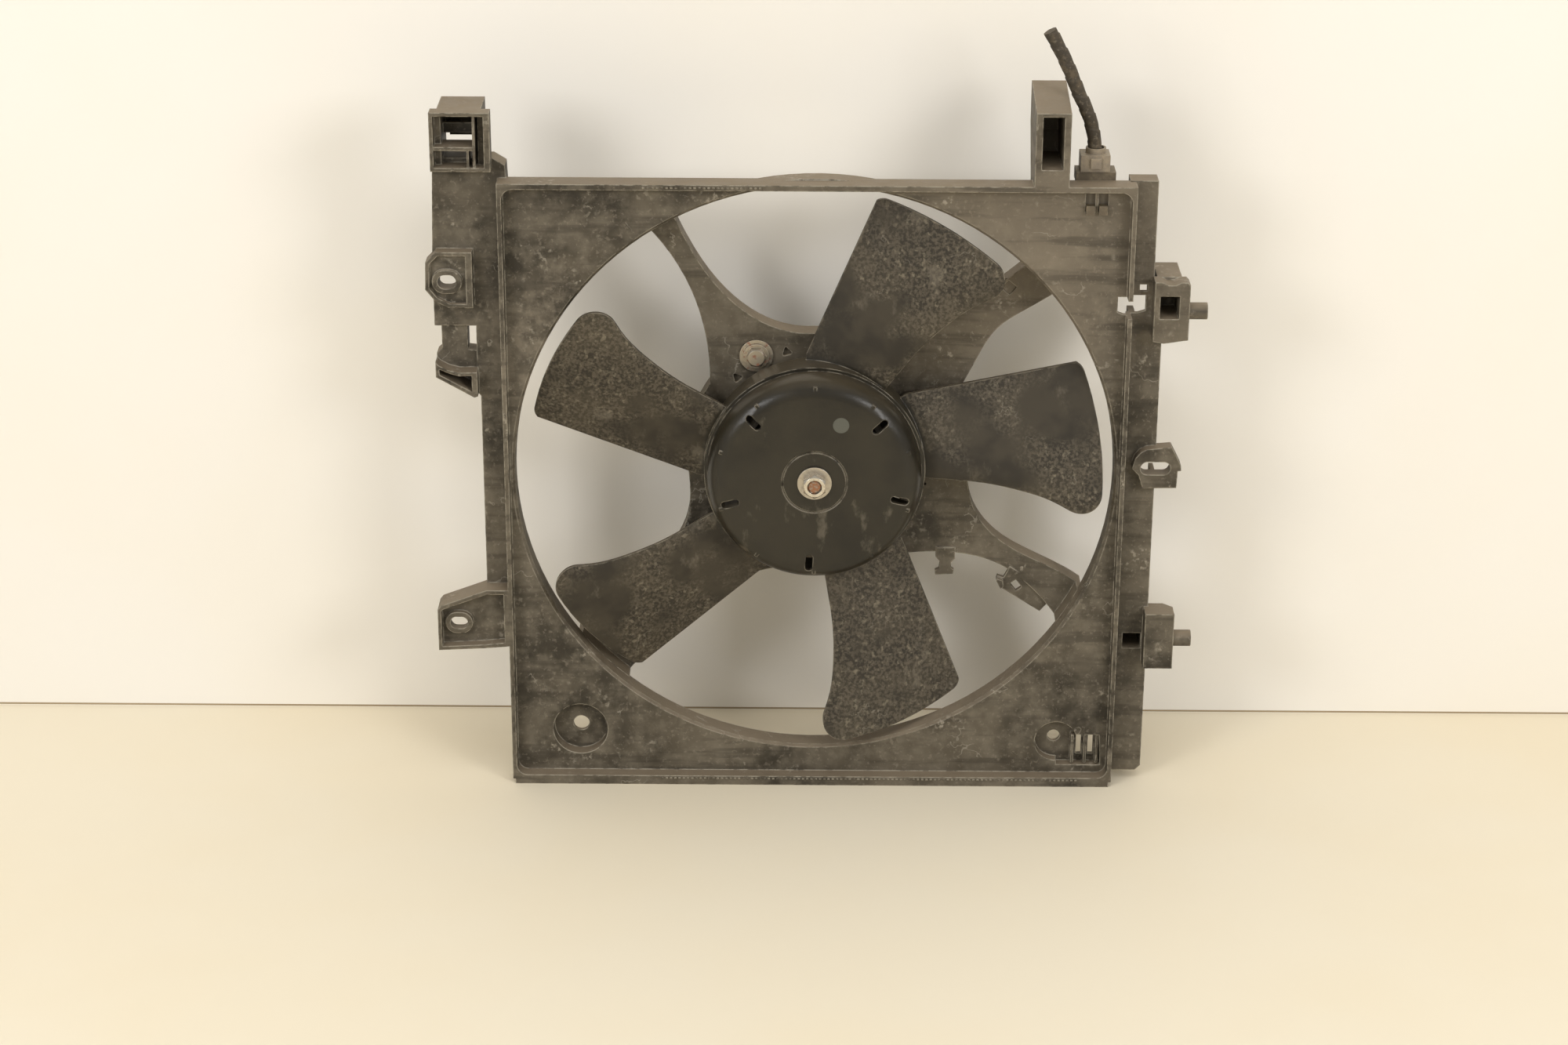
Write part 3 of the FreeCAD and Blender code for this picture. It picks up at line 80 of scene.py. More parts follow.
# Finish of the CAD copies: facets that meet at less than this shade as one surface.
SMOOTH_ANGLE = math.radians(32.0)
MERGE_DISTANCE = 0.002 * MM

# Walls behind the openings that end blind, each a box from its low to its high corner, in millimetres,
# and how far its top leans rearwards.
BLIND_WALLS = [
    ((141.0, 10.55, 150.0), (157.0, 11.3, 163.5), 0.0),     # behind the connector's clip slots
    ((100.0, 33.6, 95.5), (111.0, 34.4, 106.5), 0.0),       # behind the square hole in the motor arm
    ((118.0, 36.6, 175.5), (130.6, 37.8, 188.0), 6.8),      # sloping back of the column's slot
]
# Box-shaped socket behind the square hole by the lower peg, in millimetres.
SOCKET_LEFT, SOCKET_RIGHT = 172.4, 185.6
SOCKET_FRONT, SOCKET_BACK = 14.05, 33.8
SOCKET_BOTTOM, SOCKET_TOP = -106.3, -93.8
SOCKET_SIDE_WALL, SOCKET_WALL = 1.6, 1.5
WALL_EDGE = 0.15

# Triangular pockets: two beside each motor screw, on a circle round the fan's axis.
SCREW_ANGLES = (119.0, -1.0, -121.0)
POCKET_ANGLE = 14.5
POCKET_CIRCLE = 62.5 * MM
POCKET_DEPTH = 43.1 * MM

# Rows of teeth on the rim's front edge: left end, right end and height.
TOOTH_ROWS = [(-85.0, 150.0, -182.4), (-92.0, -30.0, 166.0)]
TOOTH_FACE = -0.1
TOOTH_SIZE = (1.3 * MM, 0.5 * MM, 1.0 * MM)

# Thread on the shaft's end: how far it lies behind the tip, its length and how deep its ridge is sunk.
THREAD_START = 0.6 * MM
THREAD_LENGTH = 4.2 * MM
THREAD_SINK = 0.3 * MM

# Stage: room behind the motor, size of the boards, and the edge of a dark strip of painted shade that stands
# for the gap where floor and wall meet.
WALL_ROOM = 4.3 * MM
BOARD_REACH = 6.0
GAP_EDGE = 0.4 * MM
CAMERA_PLACE = (-0.00994, -1.67894, 0.66291)
CAMERA_TURN = (67.72185, -0.25858, 0.33315)
CAMERA_LENS = 75.6
CAMERA_SENSOR = 36.0


# ---------------------------------------------------------------- shared helpers

def linear(code):
    """Linear colour of an sRGB hex code such as #6e6458."""
    parts = [int(code[i:i + 2], 16) / 255 for i in (1, 3, 5)]
    return tuple(p / 12.92 if p <= 0.04045 else ((p + 0.055) / 1.055) ** 2.4 for p in parts) + (1.0,)


def add(tree, kind, settings=None, links=None):
    """Adds a node, sets its properties and inputs, and links inputs to (node, output) pairs."""
    node = tree.nodes.new(kind)
    for name, value in (settings or {}).items():
        if isinstance(name, str) and name not in node.inputs and hasattr(node, name):
            setattr(node, name, value)
        else:
            node.inputs[name].default_value = value
    for name, (source, output) in (links or {}).items():
        tree.links.new(source.outputs[output], node.inputs[name])
    return node


def keep_object(name, data):
    """A new object at the origin, in the scene's collection."""
    piece = bpy.data.objects.new(name, data)
    bpy.context.scene.collection.objects.link(piece)
    return piece


def smooth_copy(node, material):
    """A merged copy of a CAD node that shades smoothly, and stands in for it."""
    work = bmesh.new()
    work.from_mesh(frame["nodes"][node].data)
    bmesh.ops.remove_doubles(work, verts=work.verts, dist=MERGE_DISTANCE)
    mesh = bpy.data.meshes.new(node + "_finish")
    work.to_mesh(mesh)
    work.free()
    # The CAD mesh's own facet normals would override the smooth shading.
    facets = mesh.attributes.get("custom_normal")
    if facets:
        mesh.attributes.remove(facets)
    mesh.shade_smooth()
    mesh.set_sharp_from_angle(angle=SMOOTH_ANGLE)
    mesh.materials.clear()
    mesh.materials.append(material)
    piece = keep_object(node + "_finish", mesh)
    body = next(b for b, nodes in frame["record"]["behaviour"]["bodies"].items() if node in nodes)
    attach(piece, body)
    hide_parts(node)
    return piece


def geometry_tree(name, sizes):
    """An empty Geometry Nodes tree with a named input for each size, and its input node."""
    tree = bpy.data.node_groups.new(name, "GeometryNodeTree")
    tree.interface.new_socket("Geometry", in_out="INPUT", socket_type="NodeSocketGeometry")
    for label, size in sizes.items():
        kind = "NodeSocketVector" if isinstance(size, tuple) else "NodeSocketFloat"
        tree.interface.new_socket(label, in_out="INPUT", socket_type=kind).default_value = size
    tree.interface.new_socket("Finish", in_out="INPUT", socket_type="NodeSocketMaterial")
    tree.interface.new_socket("Geometry", in_out="OUTPUT", socket_type="NodeSocketGeometry")
    return tree, add(tree, "NodeGroupInput")


def close_tree(tree, given, last):
    """Ends a tree: instances made real, then the finish set."""
    real = add(tree, "GeometryNodeRealizeInstances", links={"Geometry": (last, 0)})
    painted = add(tree, "GeometryNodeSetMaterial",
                  links={"Geometry": (real, 0), "Material": (given, "Finish")})
    add(tree, "NodeGroupOutput", links={"Geometry": (painted, 0)})


def grown(name, tree, sizes, material, start=None):
    """Runs a tree on its start, a mesh or a curve, and gives the result as one plain mesh object."""
    holder = keep_object(name + "_seed", start or bpy.data.meshes.new(name + "_seed"))
    modifier = holder.modifiers.new("grow", "NODES")
    modifier.node_group = tree
    sockets = {item.name: item.identifier for item in tree.interface.items_tree if item.in_out == "INPUT"}
    for label, value in dict(sizes, Finish=material).items():
        modifier[sockets[label]] = value
    depsgraph = bpy.context.evaluated_depsgraph_get()
    mesh = bpy.data.meshes.new_from_object(holder.evaluated_get(depsgraph), depsgraph=depsgraph)
    holder.modifiers.clear()
    bpy.data.objects.remove(holder)
    if not mesh.polygons:
        raise RuntimeError(name + " came out empty")
    return keep_object(name, mesh)


# ---------------------------------------------------------------- shared parts of the materials
# A mask is a (node, output) pair that runs from 0, black, to 1, white.

def fresh_material(name):
    """An empty material: its tree, its shader and its place coordinates."""
    material = bpy.data.materials.new(name)
    material.use_nodes = True
    tree = material.node_tree
    tree.nodes.clear()
    shader = add(tree, "ShaderNodeBsdfPrincipled")
    add(tree, "ShaderNodeOutputMaterial", links={"Surface": (shader, 0)})
    return material, tree, shader, add(tree, "ShaderNodeTexCoord")


def patches(tree, place, size, low, high, detail=3.0, stretch=(1.0, 1.0, 1.0), shift=0.0):
    """Mask of patches about size millimetres across, white where the noise passes high."""
    moved = add(tree, "ShaderNodeMapping", {"Location": (shift, shift, shift), "Scale": stretch},
                {"Vector": (place, "Object")})
    noise = add(tree, "ShaderNodeTexNoise", {"Scale": 1000.0 / size, "Detail": detail, "Roughness": 0.6},
                {"Vector": (moved, 0)})
    return add(tree, "ShaderNodeMapRange",
               {"interpolation_type": "SMOOTHSTEP", "From Min": low, "From Max": high},
               {"Value": (noise, 0)}), 0


def around(tree, place, x, z, inner, outer):
    """Mask round the line along Y through x and z, in millimetres: white within inner, black past outer."""
    flat = add(tree, "ShaderNodeVectorMath", {"operation": "MULTIPLY", 1: (1.0, 0.0, 1.0)},
               {0: (place, "Object")})
    reach = add(tree, "ShaderNodeVectorMath", {"operation": "DISTANCE", 1: (x * MM, 0.0, z * MM)},
                {0: (flat, 0)})
    return add(tree, "ShaderNodeMapRange", {"From Min": outer * MM, "From Max": inner * MM},
               {"Value": (reach, "Value")}), 0


def worn_edges(tree, radius):
    """Mask of the edges that hands and tools rub, and the rounded normal that finds them, from a radius
    in millimetres."""
    rounded = add(tree, "ShaderNodeBevel", {"samples": 6, "Radius": radius * MM})
    true = add(tree, "ShaderNodeNewGeometry")
    match = add(tree, "ShaderNodeVectorMath", {"operation": "DOT_PRODUCT"},
                {0: (rounded, 0), 1: (true, "Normal")})
    edges = add(tree, "ShaderNodeMapRange", {"From Min": 0.995, "From Max": 0.86},
                {"Value": (match, "Value")})
    return (edges, 0), rounded


def dust_and_top_light(tree, low=0.25, high=0.95):
    """Mask of the faces that look up: where dust settles, and where those faces are painted lighter as if lit
    from above.
    """
    face = add(tree, "ShaderNodeNewGeometry")
    split = add(tree, "ShaderNodeSeparateXYZ", links={0: (face, "Normal")})
    return add(tree, "ShaderNodeMapRange", {"From Min": low, "From Max": high}, {"Value": (split, "Z")}), 0


def scribbles(tree, place, size, width, shift=0.0):
    """Mask of thin wandering lines, where the noise crosses its middle: scratches and dried tide marks."""
    moved = add(tree, "ShaderNodeMapping", {"Location": (shift, shift, shift)}, {"Vector": (place, "Object")})
    noise = add(tree, "ShaderNodeTexNoise", {"Scale": 1000.0 / size, "Detail": 4.0}, {"Vector": (moved, 0)})
    offset = add(tree, "ShaderNodeMath", {"operation": "SUBTRACT", 1: 0.5}, {0: (noise, 0)})
    away = add(tree, "ShaderNodeMath", {"operation": "ABSOLUTE"}, {0: (offset, 0)})
    return add(tree, "ShaderNodeMapRange", {"From Min": width, "From Max": width * 0.3},
               {"Value": (away, 0)}), 0


def layered(tree, base, layers):
    """Colour layers over a base. Each has its share, its colour and the masks that it is limited to."""
    under = None
    for share, code, first, *others in layers:
        strength = add(tree, "ShaderNodeMath", {"operation": "MULTIPLY", 1: share}, {0: first})
        for mask in others:
            strength = add(tree, "ShaderNodeMath", {"operation": "MULTIPLY"}, {0: (strength, 0), 1: mask})
        # A Mix node's colours are its inputs 6 and 7 and its output 2.
        settings = {"data_type": "RGBA", 7: linear(code)}
        links = {0: (strength, 0)}
        if under:
            links[6] = (under, 2)
        else:
            settings[6] = linear(base)
        under = add(tree, "ShaderNodeMix", settings, links)
    return under, 2


def grain(tree, place, size, depth, rounded=None):
    """Bump of a moulded or worn surface: grain size and depth in millimetres."""
    noise = add(tree, "ShaderNodeTexNoise", {"Scale": 1000.0 / size, "Detail": 3.0},
                {"Vector": (place, "Object")})
    links = {"Height": (noise, 0)}
    if rounded:
        links["Normal"] = (rounded, 0)
    return add(tree, "ShaderNodeBump", {"Strength": 0.6, "Distance": depth * MM}, links)


def connect(tree, shader, colour, rough, bump=None, metallic=None):
    """Links the finished colour and bump to the shader. Roughness and metallic are each a mask with
    the value where it is black and the value where it is white."""
    tree.links.new(colour[0].outputs[colour[1]], shader.inputs["Base Color"])
    if bump:
        tree.links.new(bump.outputs[0], shader.inputs["Normal"])
    for name, spread in (("Roughness", rough), ("Metallic", metallic)):
        if spread:
            mask, black, white = spread
            value = add(tree, "ShaderNodeMapRange", {"To Min": black, "To Max": white}, {"Value": mask})
            tree.links.new(value.outputs[0], shader.inputs[name])


# ---------------------------------------------------------------- materials

def glass_filled_nylon():
    """Glass-filled nylon, injection moulded: black when new, now a flat warm grey under road dust,
    with wiped patches, pale specks, whitened edges that also carry painted edge highlights, and dust lying on
    what looks up, which also paints those faces lighter as if lit from above."""
    material, tree, shader, place = fresh_material("glass_filled_nylon")
    edges, rounded = worn_edges(tree, 1.1)
    clouds = patches(tree, place, 70, 0.38, 0.62, detail=2.0, shift=0.15)
    wiped = patches(tree, place, 30, 0.4, 0.66)
    film = patches(tree, place, 9, 0.38, 0.7, detail=6.0, shift=0.3)
    specks = patches(tree, place, 2.2, 0.56, 0.7)
    streaks = patches(tree, place, 22, 0.48, 0.68, stretch=(0.35, 1.0, 3.2), shift=0.7)
    drops = patches(tree, place, 3.2, 0.52, 0.64, detail=6.0, shift=1.1)
    splashed = patches(tree, place, 24, 0.56, 0.7, shift=1.6)
    lines = scribbles(tree, place, 22, 0.008, 0.4)
    scratched = patches(tree, place, 30, 0.57, 0.63, shift=0.9)
    dusty_corner = around(tree, place, 120, 125, 10, 105)
    dusty_flank = around(tree, place, -135, 70, 10, 60)
    rubbed = patches(tree, place, 5, 0.36, 0.56, detail=5.0, shift=0.5)
    colour = layered(tree, "#2f2a21", [
        (0.72, "#5f5749", clouds),
        (0.55, "#6c6456", wiped),
        (0.5, "#7b7364", film),
        (0.5, "#8d8271", dusty_corner),
        (0.45, "#584f43", dusty_corner, wiped),
        (0.7, "#7d7364", dusty_flank, film),
        (0.5, "#2b261e", streaks),
        (0.3, "#8f8576", specks),
        # Upward faces lighter: settled dust, and painted light from above.
        (0.62, "#93846f", dust_and_top_light(tree)),
        (0.62, "#b0a898", drops, splashed),
        (0.4, "#a8a193", lines, scratched),
        # Whitened, rubbed edges, made light enough to be painted edge highlights as well.
        (0.85, "#b6ae9c", edges, rubbed)])
    connect(tree, shader, colour, (film, 0.52, 0.72), grain(tree, place, 1.1, 0.12, rounded))
    shader.inputs["Specular IOR Level"].default_value = 0.4
    return material


def moulded_polypropylene():
    """Talc-filled polypropylene, injection moulded: blades matt and speckled with grit, the hub's
    face smoother and darker, with a gate mark and rubbed edges."""
    material, tree, shader, place = fresh_material("moulded_polypropylene")
    edges, rounded = worn_edges(tree, 0.9)
    hub = around(tree, place, 0, 0, 61.8, 64.0)
    blades = add(tree, "ShaderNodeMath", {"operation": "SUBTRACT", 0: 1.0}, {1: hub}), 0
    film = patches(tree, place, 34, 0.4, 0.62)
    dull = patches(tree, place, 48, 0.36, 0.52, detail=2.0, shift=0.25)
    grit = patches(tree, place, 1.8, 0.4, 0.62)
    pale_grit = patches(tree, place, 3.0, 0.55, 0.68, detail=6.0, shift=0.4)
    smears = patches(tree, place, 14, 0.6, 0.72, detail=6.0, stretch=(1.0, 1.0, 0.5), shift=0.9)
    lines = scribbles(tree, place, 20, 0.007, 1.3)
    scratched = patches(tree, place, 34, 0.56, 0.62, shift=0.35)
    gate = around(tree, place, 14.2, 33.4, 4.2, 4.6)
    rubbed = patches(tree, place, 7, 0.38, 0.58, shift=0.2)
    shade = patches(tree, place, 40, 0.3, 0.62, shift=0.6)
    colour = layered(tree, "#2a251c", [
        (0.6, "#453e31", film),
        (0.95, "#1c1912", hub),
        (0.5, "#332e22", hub, shade),
        (0.5, "#6b6253", blades, dull, grit),
        (0.45, "#8d8471", blades, dull, pale_grit),
        (0.28, "#8d8474", smears),
        (0.35, "#9b9384", blades, dull, lines, scratched),
        (0.8, "#5f6058", gate),
        # Upward faces lighter: settled dust, and painted light from above.
        (0.3, "#746956", dust_and_top_light(tree, 0.5, 1.0)),
        (0.75, "#a79e8c", edges, rubbed)])
    connect(tree, shader, colour, (hub, 0.62, 0.3), grain(tree, place, 1.4, 0.1, rounded))
    shader.inputs["Specular IOR Level"].default_value = 0.45
    return material


def connector_nylon(name, base, dust, rough):
    """Unfilled connector nylon, injection moulded: even grey, faintly waxy, dust in its ribs."""
    material, tree, shader, place = fresh_material(name)
    edges, rounded = worn_edges(tree, 0.4)
    film = patches(tree, place, 5, 0.42, 0.66)
    specks = patches(tree, place, 0.9, 0.55, 0.7, detail=2.0)
    colour = layered(tree, base, [
        # The third layer lightens upward faces: settled dust, and painted light from above.
        (0.5, dust, film), (0.25, "#5a5347", specks), (0.4, dust, dust_and_top_light(tree)), (0.35, "#c4b8a4", edges)])
    connect(tree, shader, colour, (film, rough, rough + 0.15), grain(tree, place, 0.8, 0.06, rounded))
    return material


def bright_zinc(name, base, stain, share, rough):
    """Zinc plating or another bright metal skin: clean cold-formed faces, with white bloom and with
    stains or rust where the skin wore through."""
    material, tree, shader, place = fresh_material(name)
    edges, rounded = worn_edges(tree, 0.4)
    bloom = patches(tree, place, 2.5, 0.5, 0.68, detail=5.0)
    rust = patches(tree, place, 3.5, 0.52, 0.66, detail=6.0, shift=0.35)
    colour = layered(tree, base, [(0.3, "#9d968a", bloom), (share, stain, rust), (0.25, "#efeae0", edges)])
    connect(tree, shader, colour, (bloom, rough, rough + 0.25), grain(tree, place, 0.7, 0.05, rounded),
            (rust, 1.0, 1.0 - 0.8 * share))
    return material


def drawn_steel():
    """Carbon steel shaft, ground: fine rings round it, and orange rust on the bare end."""
    material, tree, shader, place = fresh_material("drawn_steel")
    rings = patches(tree, place, 0.6, 0.35, 0.7, detail=2.0, stretch=(0.05, 1.0, 0.05))
    split = add(tree, "ShaderNodeSeparateXYZ", links={0: (place, "Object")})
    bare_end = add(tree, "ShaderNodeMapRange", {"From Min": -4 * MM, "From Max": -8 * MM},
                   {"Value": (split, "Y")})
    rust = add(tree, "ShaderNodeMath", {"operation": "MULTIPLY"},
               {0: (bare_end, 0), 1: patches(tree, place, 2.0, 0.36, 0.55, detail=5.0)}), 0
    colour = layered(tree, "#9b958c", [(0.35, "#7b756c", rings), (0.9, "#8e5a33", rust)])
    connect(tree, shader, colour, (rings, 0.32, 0.5), grain(tree, place, 0.5, 0.03), (rust, 1.0, 0.2))
    return material


def painted_steel():
    """Deep-drawn steel in baked black paint: slight orange peel, satin, rust specks at worn edges."""
    material, tree, shader, place = fresh_material("painted_steel")
    edges, rounded = worn_edges(tree, 0.8)
    film = patches(tree, place, 18, 0.4, 0.66)
    rust = patches(tree, place, 3, 0.45, 0.6, detail=5.0)
    pits = patches(tree, place, 1.8, 0.68, 0.74, detail=4.0, shift=0.8)
    colour = layered(tree, "#2c2a26", [
        # The second layer lightens upward faces: settled dust, and painted light from above.
        (0.5, "#4a443a", film), (0.5, "#7d7060", dust_and_top_light(tree)), (0.6, "#6b4529", pits),
        (0.7, "#7a4c2b", edges, rust)])
    connect(tree, shader, colour, (film, 0.38, 0.6), grain(tree, place, 2.2, 0.08, rounded))
    shader.inputs["Coat Weight"].default_value = 0.15
    return material


def sintered_ferrite():
    """Ceramic ferrite magnet, pressed and fired: charcoal grey, dull, with tiny chipped corners."""
    material, tree, shader, place = fresh_material("sintered_ferrite")
    edges, rounded = worn_edges(tree, 0.6)
    grit = patches(tree, place, 0.8, 0.45, 0.7)
    chips = patches(tree, place, 1.5, 0.5, 0.6)
    colour = layered(tree, "#3a393a", [(0.4, "#4e4c4b", grit), (0.8, "#77736e", edges, chips)])
    connect(tree, shader, colour, (grit, 0.62, 0.8), grain(tree, place, 0.8, 0.1, rounded))
    return material


def stacked_laminations():
    """Silicon steel sheets, punched and stacked: fine lines across the core. The sheets are 0.5 mm
    thick, and the lines are drawn 2 mm apart so that they show."""
    material, tree, shader, place = fresh_material("stacked_laminations")
    sheets = add(tree, "ShaderNodeTexWave", {"bands_direction": "Y", "Scale": 160.0, "Distortion": 0.3},
                 {"Vector": (place, "Object")})
    film = patches(tree, place, 4, 0.4, 0.66)
    colour = layered(tree, "#8a8680", [(0.5, "#4c4945", (sheets, 1)), (0.3, "#6a5a48", film)])
    bump = add(tree, "ShaderNodeBump", {"Strength": 0.5, "Distance": 0.1 * MM}, {"Height": (sheets, 1)})
    connect(tree, shader, colour, (film, 0.36, 0.52), bump)
    shader.inputs["Metallic"].default_value = 1.0
    return material


def enamelled_copper():
    """Copper magnet wire under amber enamel, wound: glossy strands laid side by side. They are drawn
    1.6 mm apart so that they show."""
    material, tree, shader, place = fresh_material("enamelled_copper")
    strands = add(tree, "ShaderNodeTexWave",
                  {"bands_direction": "DIAGONAL", "Scale": 220.0, "Distortion": 1.5},
                  {"Vector": (place, "Object")})
    film = patches(tree, place, 3, 0.4, 0.66)
    colour = layered(tree, "#a8622c", [(0.55, "#5f2f14", (strands, 1)), (0.3, "#c98347", film)])
    bump = add(tree, "ShaderNodeBump", {"Strength": 0.7, "Distance": 0.3 * MM}, {"Height": (strands, 1)})
    connect(tree, shader, colour, (film, 0.25, 0.4), bump)
    shader.inputs["Metallic"].default_value = 0.7
    shader.inputs["Coat Weight"].default_value = 0.5
    return material


def turned_metal(name, base, dark, rough):
    """Turned or pressed metal, such as sintered bronze and commutator copper: fine rings, dull bloom."""
    material, tree, shader, place = fresh_material(name)
    edges, rounded = worn_edges(tree, 0.3)
    rings = patches(tree, place, 0.5, 0.35, 0.7, detail=2.0, stretch=(0.1, 1.0, 0.1))
    bloom = patches(tree, place, 3, 0.42, 0.66, detail=4.0)
    colour = layered(tree, base, [(0.3, dark, rings), (0.4, dark, bloom), (0.3, "#e8d6b4", edges)])
    connect(tree, shader, colour, (bloom, rough, rough + 0.2), grain(tree, place, 0.5, 0.04, rounded))
    shader.inputs["Metallic"].default_value = 1.0
    return material


def pressed_dull(name, base, spots, rough, size):
    """Pressed or moulded dull stuff, such as phenolic, graphite and rubber: close grain, soft edges."""
    material, tree, shader, place = fresh_material(name)
    edges, rounded = worn_edges(tree, 0.4)
    flecks = patches(tree, place, size, 0.45, 0.7, detail=4.0)
    colour = layered(tree, base, [(0.5, spots, flecks), (0.3, spots, edges)])
    connect(tree, shader, colour, (flecks, rough, rough + 0.15), grain(tree, place, size, 0.08, rounded))
    return material


def cloth_tape():
    """Black cloth harness tape, woven, wound in laps: matt, faded brown, dusty on the laps' edges.
    Its weave is drawn 0.9 mm apart, coarser than the real threads, so that it shows."""
    material, tree, shader, place = fresh_material("cloth_tape")
    weave = add(tree, "ShaderNodeTexVoronoi", {"Scale": 1000.0 / 0.9}, {"Vector": (place, "Object")})
    threads = add(tree, "ShaderNodeMapRange", {"From Min": 0.2, "From Max": 0.6}, {"Value": (weave, 0)}), 0
    dust = patches(tree, place, 5, 0.46, 0.66, detail=5.0)
    lumps = patches(tree, place, 1.8, 0.56, 0.7, shift=0.4)
    colour = layered(tree, "#3f382e", [
        (0.35, "#2c271f", threads), (0.55, "#6e6250", dust), (0.4, "#857a68", lumps),
        # The last layer lightens upward faces: settled dust, and painted light from above.
        (0.3, "#7a6e5c", dust_and_top_light(tree, 0.1, 0.9))])
    bump = add(tree, "ShaderNodeBump", {"Strength": 0.5, "Distance": 0.2 * MM}, {"Height": (weave, 0)})
    connect(tree, shader, colour, (dust, 0.7, 0.9), bump)
    return material


def painted_board(name, base, mottle):
    """Emulsion-painted board, rolled: a plain pale matt sheet with very faint mottling. It shows only
    from its lit side."""
    material, tree, shader, place = fresh_material(name)
    faint = patches(tree, place, 260, 0.35, 0.7)
    connect(tree, shader, layered(tree, base, [(0.4, mottle, faint)]), (faint, 0.6, 0.7))
    side = add(tree, "ShaderNodeNewGeometry")
    clear = add(tree, "ShaderNodeBsdfTransparent")
    sided = add(tree, "ShaderNodeMixShader", links={0: (side, "Backfacing"), 1: (shader, 0), 2: (clear, 0)})
    output = next(n for n in tree.nodes if n.bl_idname == "ShaderNodeOutputMaterial")
    tree.links.new(sided.outputs[0], output.inputs["Surface"])
    return material


# ---------------------------------------------------------------- settings

class LoomSettings(bpy.types.PropertyGroup):
    """Sizes of the taped loom"""
    diameter: FloatProperty(name="Diameter", description="Width of the taped loom",
                            default=7.3 * MM, unit="LENGTH")
    length: FloatProperty(name="Length", description="Length from the plug to the cut end",
                          default=72 * MM, unit="LENGTH")
    lap: FloatProperty(name="Lap", description="Distance from one lap of tape to the next",
                       default=9.5 * MM, unit="LENGTH")
    proud: FloatProperty(name="Lap height", description="How far each lap stands over the last",
                         default=0.45 * MM, unit="LENGTH")


class ThreadSettings(bpy.types.PropertyGroup):
    """Sizes of the thread on the shaft's end"""
    pitch: FloatProperty(name="Pitch", description="Thread pitch of the shaft's end",
                         default=1.25 * MM, unit="LENGTH")
    depth: FloatProperty(name="Depth", description="Height of the thread's ridge",
                         default=0.35 * MM, unit="LENGTH")


class ToothSettings(bpy.types.PropertyGroup):
    """Sizes of the teeth on the rim"""
    pitch: FloatProperty(name="Tooth pitch", description="Distance between the teeth on the rim",
                         default=2.4 * MM, unit="LENGTH")


class StageSettings(bpy.types.PropertyGroup):
    """Light and colours of the stage"""
    lamp_power: FloatProperty(name="Lamp power", description="Power of each side lamp",
                              default=9.25, unit="POWER")
    sky: FloatProperty(name="Room light", description="Strength of the even light from the room",
                       default=0.5, subtype="FACTOR")
    floor_colour: StringProperty(name="Floor colour", description="sRGB hex code of the floor",
                                 default="#f0e7d2")
    wall_colour: StringProperty(name="Wall colour", description="sRGB hex code of the wall",
                                default="#f6f3ed")


# ---------------------------------------------------------------- pieces

class FANSHROUD_OT_shroud(bpy.types.Operator):
    """Dresses the moulded shroud"""
    bl_idname = "fanshroud.shroud"
    bl_label = "Shroud"

    def execute(self, context):
        plastic = glass_filled_nylon()
        smooth_copy("shroud", plastic)
        pitch = context.scene.fanshroud_teeth.pitch
        for piece in (pocket_walls(plastic), pocket_floors(plastic), rim_teeth(pitch, plastic)):
            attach(piece, "frame")
        return {"FINISHED"}


def slab(work, low, high, lean=0.0):
    """Adds a box between two corners in millimetres; lean moves its top rearwards."""
    verts = bmesh.ops.create_cube(work, size=1.0)["verts"]
    for vert in verts:
        share = [c + 0.5 for c in vert.co]
        vert.co = [(a + s * (b - a)) * MM for s, a, b in zip(share, low, high)]
        vert.co.y += lean * share[2] * MM
    edges = {edge for vert in verts for edge in vert.link_edges}
    bmesh.ops.bevel(work, geom=list(edges), offset=WALL_EDGE * MM, segments=1, affect="EDGES")


def pocket_walls(material):
    """Walls behind the small openings that end blind: the clip sockets and the column's slot."""
    work = bmesh.new()
    for low, high, lean in BLIND_WALLS:
        slab(work, low, high, lean)
    left, right = SOCKET_LEFT + SOCKET_SIDE_WALL, SOCKET_RIGHT - SOCKET_SIDE_WALL
    front, back = SOCKET_FRONT, SOCKET_BACK - SOCKET_WALL
    slab(work, (SOCKET_LEFT, back, SOCKET_BOTTOM), (SOCKET_RIGHT, SOCKET_BACK, SOCKET_TOP))
    slab(work, (SOCKET_LEFT, front, SOCKET_BOTTOM), (left, back, SOCKET_TOP))
    slab(work, (right, front, SOCKET_BOTTOM), (SOCKET_RIGHT, back, SOCKET_TOP))
    slab(work, (left, front, SOCKET_TOP - SOCKET_WALL), (right, back, SOCKET_TOP))
    slab(work, (left, front, SOCKET_BOTTOM), (right, back, SOCKET_BOTTOM + SOCKET_WALL))
    mesh = bpy.data.meshes.new("pocket_walls")
    work.to_mesh(mesh)
    work.free()
    mesh.materials.append(material)
    return keep_object("pocket_walls", mesh)


def pocket_floors(material):
    """Discs that close the triangular pockets beside the motor's screws."""
    sizes = {"Radius": 4.4 * MM, "Thickness": 0.9 * MM}
    tree, given = geometry_tree("Pocket floors", sizes)
    disc = add(tree, "GeometryNodeMeshCylinder", {"Vertices": 18, "Fill Segments": 1},
               {"Radius": (given, "Radius"), "Depth": (given, "Thickness")})
    placed = add(tree, "GeometryNodeInstanceOnPoints", {"Rotation": (math.radians(90), 0.0, 0.0)},
                 {"Points": (given, "Geometry"), "Instance": (disc, 0)})
    close_tree(tree, given, placed)
    angles = [math.radians(screw + side)
              for screw in SCREW_ANGLES for side in (-POCKET_ANGLE, POCKET_ANGLE)]
    places = bpy.data.meshes.new("pocket_places")
    places.from_pydata([(POCKET_CIRCLE * math.cos(a), POCKET_DEPTH, POCKET_CIRCLE * math.sin(a))
                        for a in angles], [], [])
    return grown("pocket_floors", tree, sizes, material, places)


